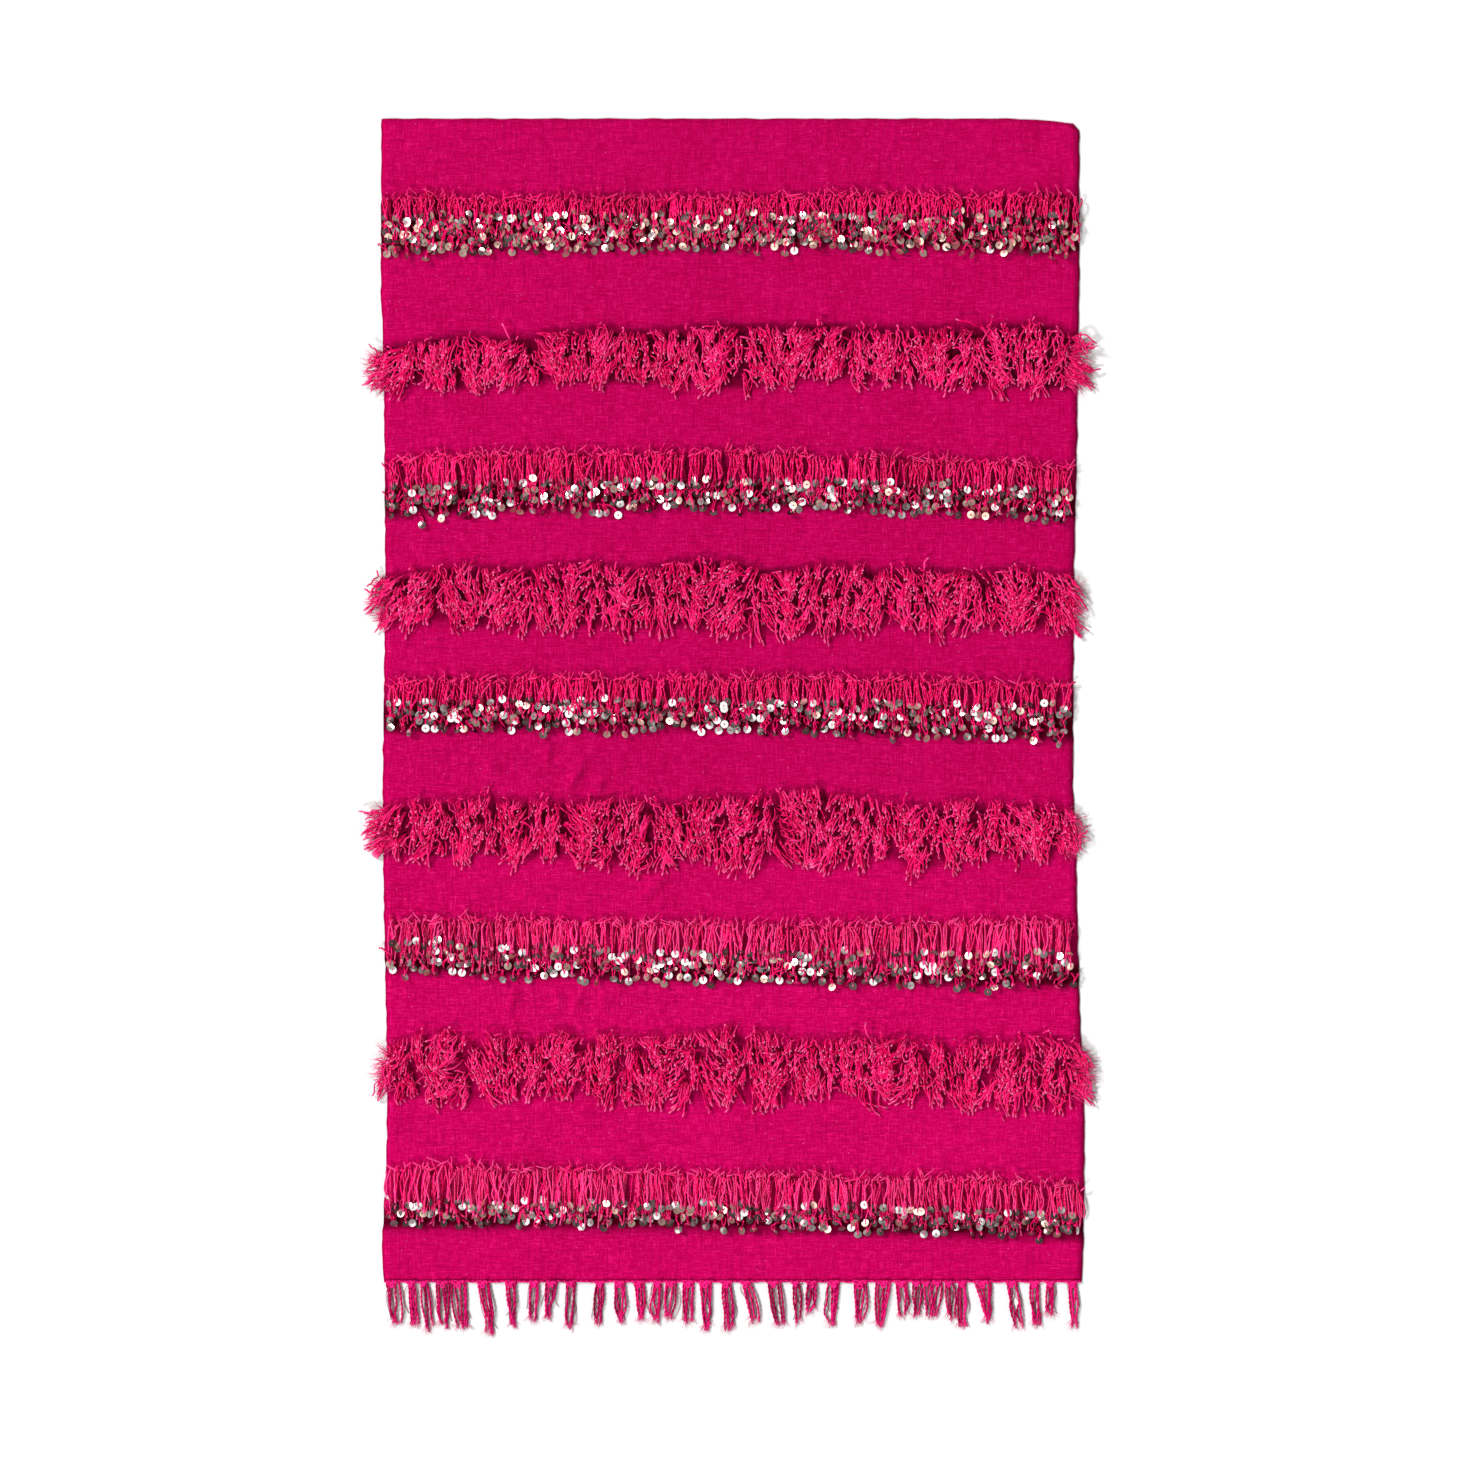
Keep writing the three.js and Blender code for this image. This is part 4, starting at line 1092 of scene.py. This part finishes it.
def tassel_lines(rng):
    """The yarns' own lines: from the hem, side by side, drawing together and swaying as they fall."""
    amount = np.select([TASSELS[:, 3] < 12 * MM, TASSELS[:, 3] < 15 * MM], [3, 4], 5)
    open_share = rng.uniform(0.42, 0.90, len(TASSELS))
    tassel = np.repeat(np.arange(len(TASSELS)), amount)
    rank = np.concatenate([np.linspace(-1, 1, k) for k in amount])
    rank = np.sign(rank) * np.abs(rank) ** 0.6
    count = len(tassel)
    x, drop, drift, width = TASSELS[tassel].T
    t = np.linspace(0, 1, PLY["steps"])[None, :]
    start = x + rank * (width * open_share[tassel] - 1.6 * MM)
    end = x + drift + rank * 3.6 * MM + rng.normal(0, 2.0 * MM, count)
    belly = rank * rng.uniform(-0.5, 4.5, count) * MM
    length = drop * np.where(np.abs(rank) < 0.5, 1.0, rng.uniform(0.86, 1.0, count))
    bends = rng.uniform(0.7, 1.8, count)[:, None]
    sway = rng.normal(0, 2.1 * MM, count)[:, None] * np.sin(2 * np.pi * bends * t)
    line_x = start[:, None] + (end - start)[:, None] * t**0.9
    line_x = line_x + belly[:, None] * np.sin(np.pi * t) + sway * t
    line_y = hem_y + 0.5 * MM - (length + 2 * MM)[:, None] * t
    rise = rng.uniform(0.5, 4.0, count)[:, None] * MM * np.sin(np.pi * t)
    return xyz(line_x, line_y, 2.6 * MM + rise)


def tassel_plies(lines, rng):
    """Two plies round each line."""
    lines = np.repeat(lines, 2, axis=0)
    count = len(lines)
    t = np.linspace(0, 1, PLY["steps"])
    phase = np.repeat(rng.uniform(0, 2 * np.pi, count // 2), 2) + np.tile([0, np.pi], count // 2)
    offset = PLY["offset"] * np.interp(t, [0, 0.9, 1], [1, 1, 1.6])
    paths = kept_above(wound(lines, ACROSS_CLOTH, offset, PLY["pitch"], phase), PLY["radius"])
    radius = PLY["radius"] * rng.uniform(0.85, 1.1, count)[:, None]
    radius = radius * np.interp(t, [0, 0.85, 1], [1, 1, 0.55])
    return tubes(paths, radius, 3, ACROSS_CLOTH, rng.random(count))


def frayed_tips(lines, rng):
    """Loose fibres that spread from the tip of every yarn, five for each."""
    tip = np.repeat(lines[:, -3], 5, axis=0)
    count = len(tip)
    away = rng.normal(-90, 26, count)
    length = rng.uniform(8, 16, count) * MM
    ahead = np.stack([np.cos(np.radians(away)), np.sin(np.radians(away))], -1)
    end = tip + np.concatenate([ahead * length[:, None], rng.uniform(-1.8, 0.4, (count, 1)) * MM], -1)
    bend = (tip + end) / 2 + rng.normal(0, 1.6 * MM, (count, 3)) * np.array([1, 0.4, 0.2])
    paths = kept_above(bezier(tip, (tip + bend) / 2, bend, end, 4), 0.5 * MM)
    radius = 0.38 * MM * np.interp(np.linspace(0, 1, 4), [0, 1], [1, 0.5])
    return tubes(paths, radius, 3, ACROSS_CLOTH, 0.9)


def loose_fibres(rng):
    """Thin dark fibres that stray to either side of the tassels, five for each."""
    tassel = np.repeat(np.arange(len(TASSELS)), 5)
    count = len(tassel)
    x, drop, drift = TASSELS[tassel, :3].T
    first = xyz(x + rng.normal(0, 4 * MM, count), hem_y - 2 * MM, 3 * MM)
    end_y = hem_y - drop * rng.uniform(0.55, 0.95, count)
    last = xyz(x + drift + rng.normal(0, 6 * MM, count), end_y, rng.uniform(0.6, 2, count) * MM)
    bow = np.array([9 * MM, 6 * MM, 0.4 * MM])
    second = first + (last - first) * 0.35 + rng.normal(0, 1, (count, 3)) * bow
    third = first + (last - first) * 0.7 + rng.normal(0, 1, (count, 3)) * bow
    paths = kept_above(bezier(first, second, third, last, 8), 0.6 * MM)
    made = tubes(paths, 0.5 * MM, 3, ACROSS_CLOTH, 0.0)
    made["along"] = np.zeros_like(made["along"])
    return made


def tassel_knots(rng):
    """An overhand knot over each tassel's head: a trefoil line, drawn flat and tight."""
    t = np.linspace(0, 2 * np.pi, 25)[None, :]
    count = len(TASSELS)
    size = TASSELS[:, 3:] * 0.25
    turned = rng.uniform(0, 2 * np.pi, count)[:, None]
    x = TASSELS[:, :1] + size * (np.sin(t + turned) + 1.4 * np.sin(2 * (t + turned)))
    y = hem_y - 3.0 * MM + 0.7 * size * (np.cos(t + turned) - 1.2 * np.cos(2 * (t + turned)))
    z = 5.2 * MM - 1.4 * MM * np.sin(3 * (t + turned))
    near_upright = (0.08, 0.05, 1.0)
    return tubes(xyz(x, y, z), 1.8 * MM, 4, near_upright, rng.uniform(0.8, 1.0, count))


def hem_cord():
    """The twined cord along the hem: two plies, whose line strays a little up and down."""
    x = np.linspace(left_side(hem_y) + 1 * MM, right_side(hem_y) - 1 * MM, HEM_CORD["steps"])
    line_y = hem_y - HEM_CORD["below"] + 0.5 * MM * wander(x, 40 * MM, 11)
    line = xyz(x, line_y, HEM_CORD["height"])
    phase = np.array([0, np.pi])
    paths = wound(np.stack([line, line]), UP_CLOTH, HEM_CORD["offset"], HEM_CORD["pitch"], phase)
    made = tubes(paths, HEM_CORD["radius"], 3, UP_CLOTH, [0.45, 0.8])
    made["along"] = np.full_like(made["along"], 0.5)
    return made


rng = np.random.default_rng(120)
yarn_lines = tassel_lines(rng)
fringe_parts = [
    tassel_plies(yarn_lines, rng),
    frayed_tips(yarn_lines, rng),
    loose_fibres(rng),
    tassel_knots(rng),
    hem_cord(),
]
tassel_fringe = yarn_piece("tassel_fringe", fringe_parts, fringe_wool)
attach(tassel_fringe, "root")
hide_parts("fringe")

# %% [markdown]
# ## Floor
# The floor is a wide plane of pale paper under the cloth, which isn't part of the blanket.

paper, tree, shader = new_material("pale_paper", Roughness=0.9, Specular_IOR_Level=0.1)
fibres = add(tree, "TexNoise", {"Vector": add(tree, "TexCoord").outputs["Object"], "Scale": 3.0})
whiteness = mixed(tree, fibres.outputs[0], (0.635, 0.638, 0.64, 1), (0.655, 0.658, 0.66, 1))
tree.links.new(whiteness, shader.inputs["Base Color"])
FLOOR_HALF = 7.0
floor_points = np.array([(-1, -1, 0), (1, -1, 0), (1, 1, 0), (-1, 1, 0)]) * FLOOR_HALF
floor_uv = np.array([(0, 0), (1, 0), (1, 1), (0, 1)])
floor = new_piece("floor", floor_points, np.array([[0, 1, 2, 3]]), NO_TRIANGLES, floor_uv, paper)
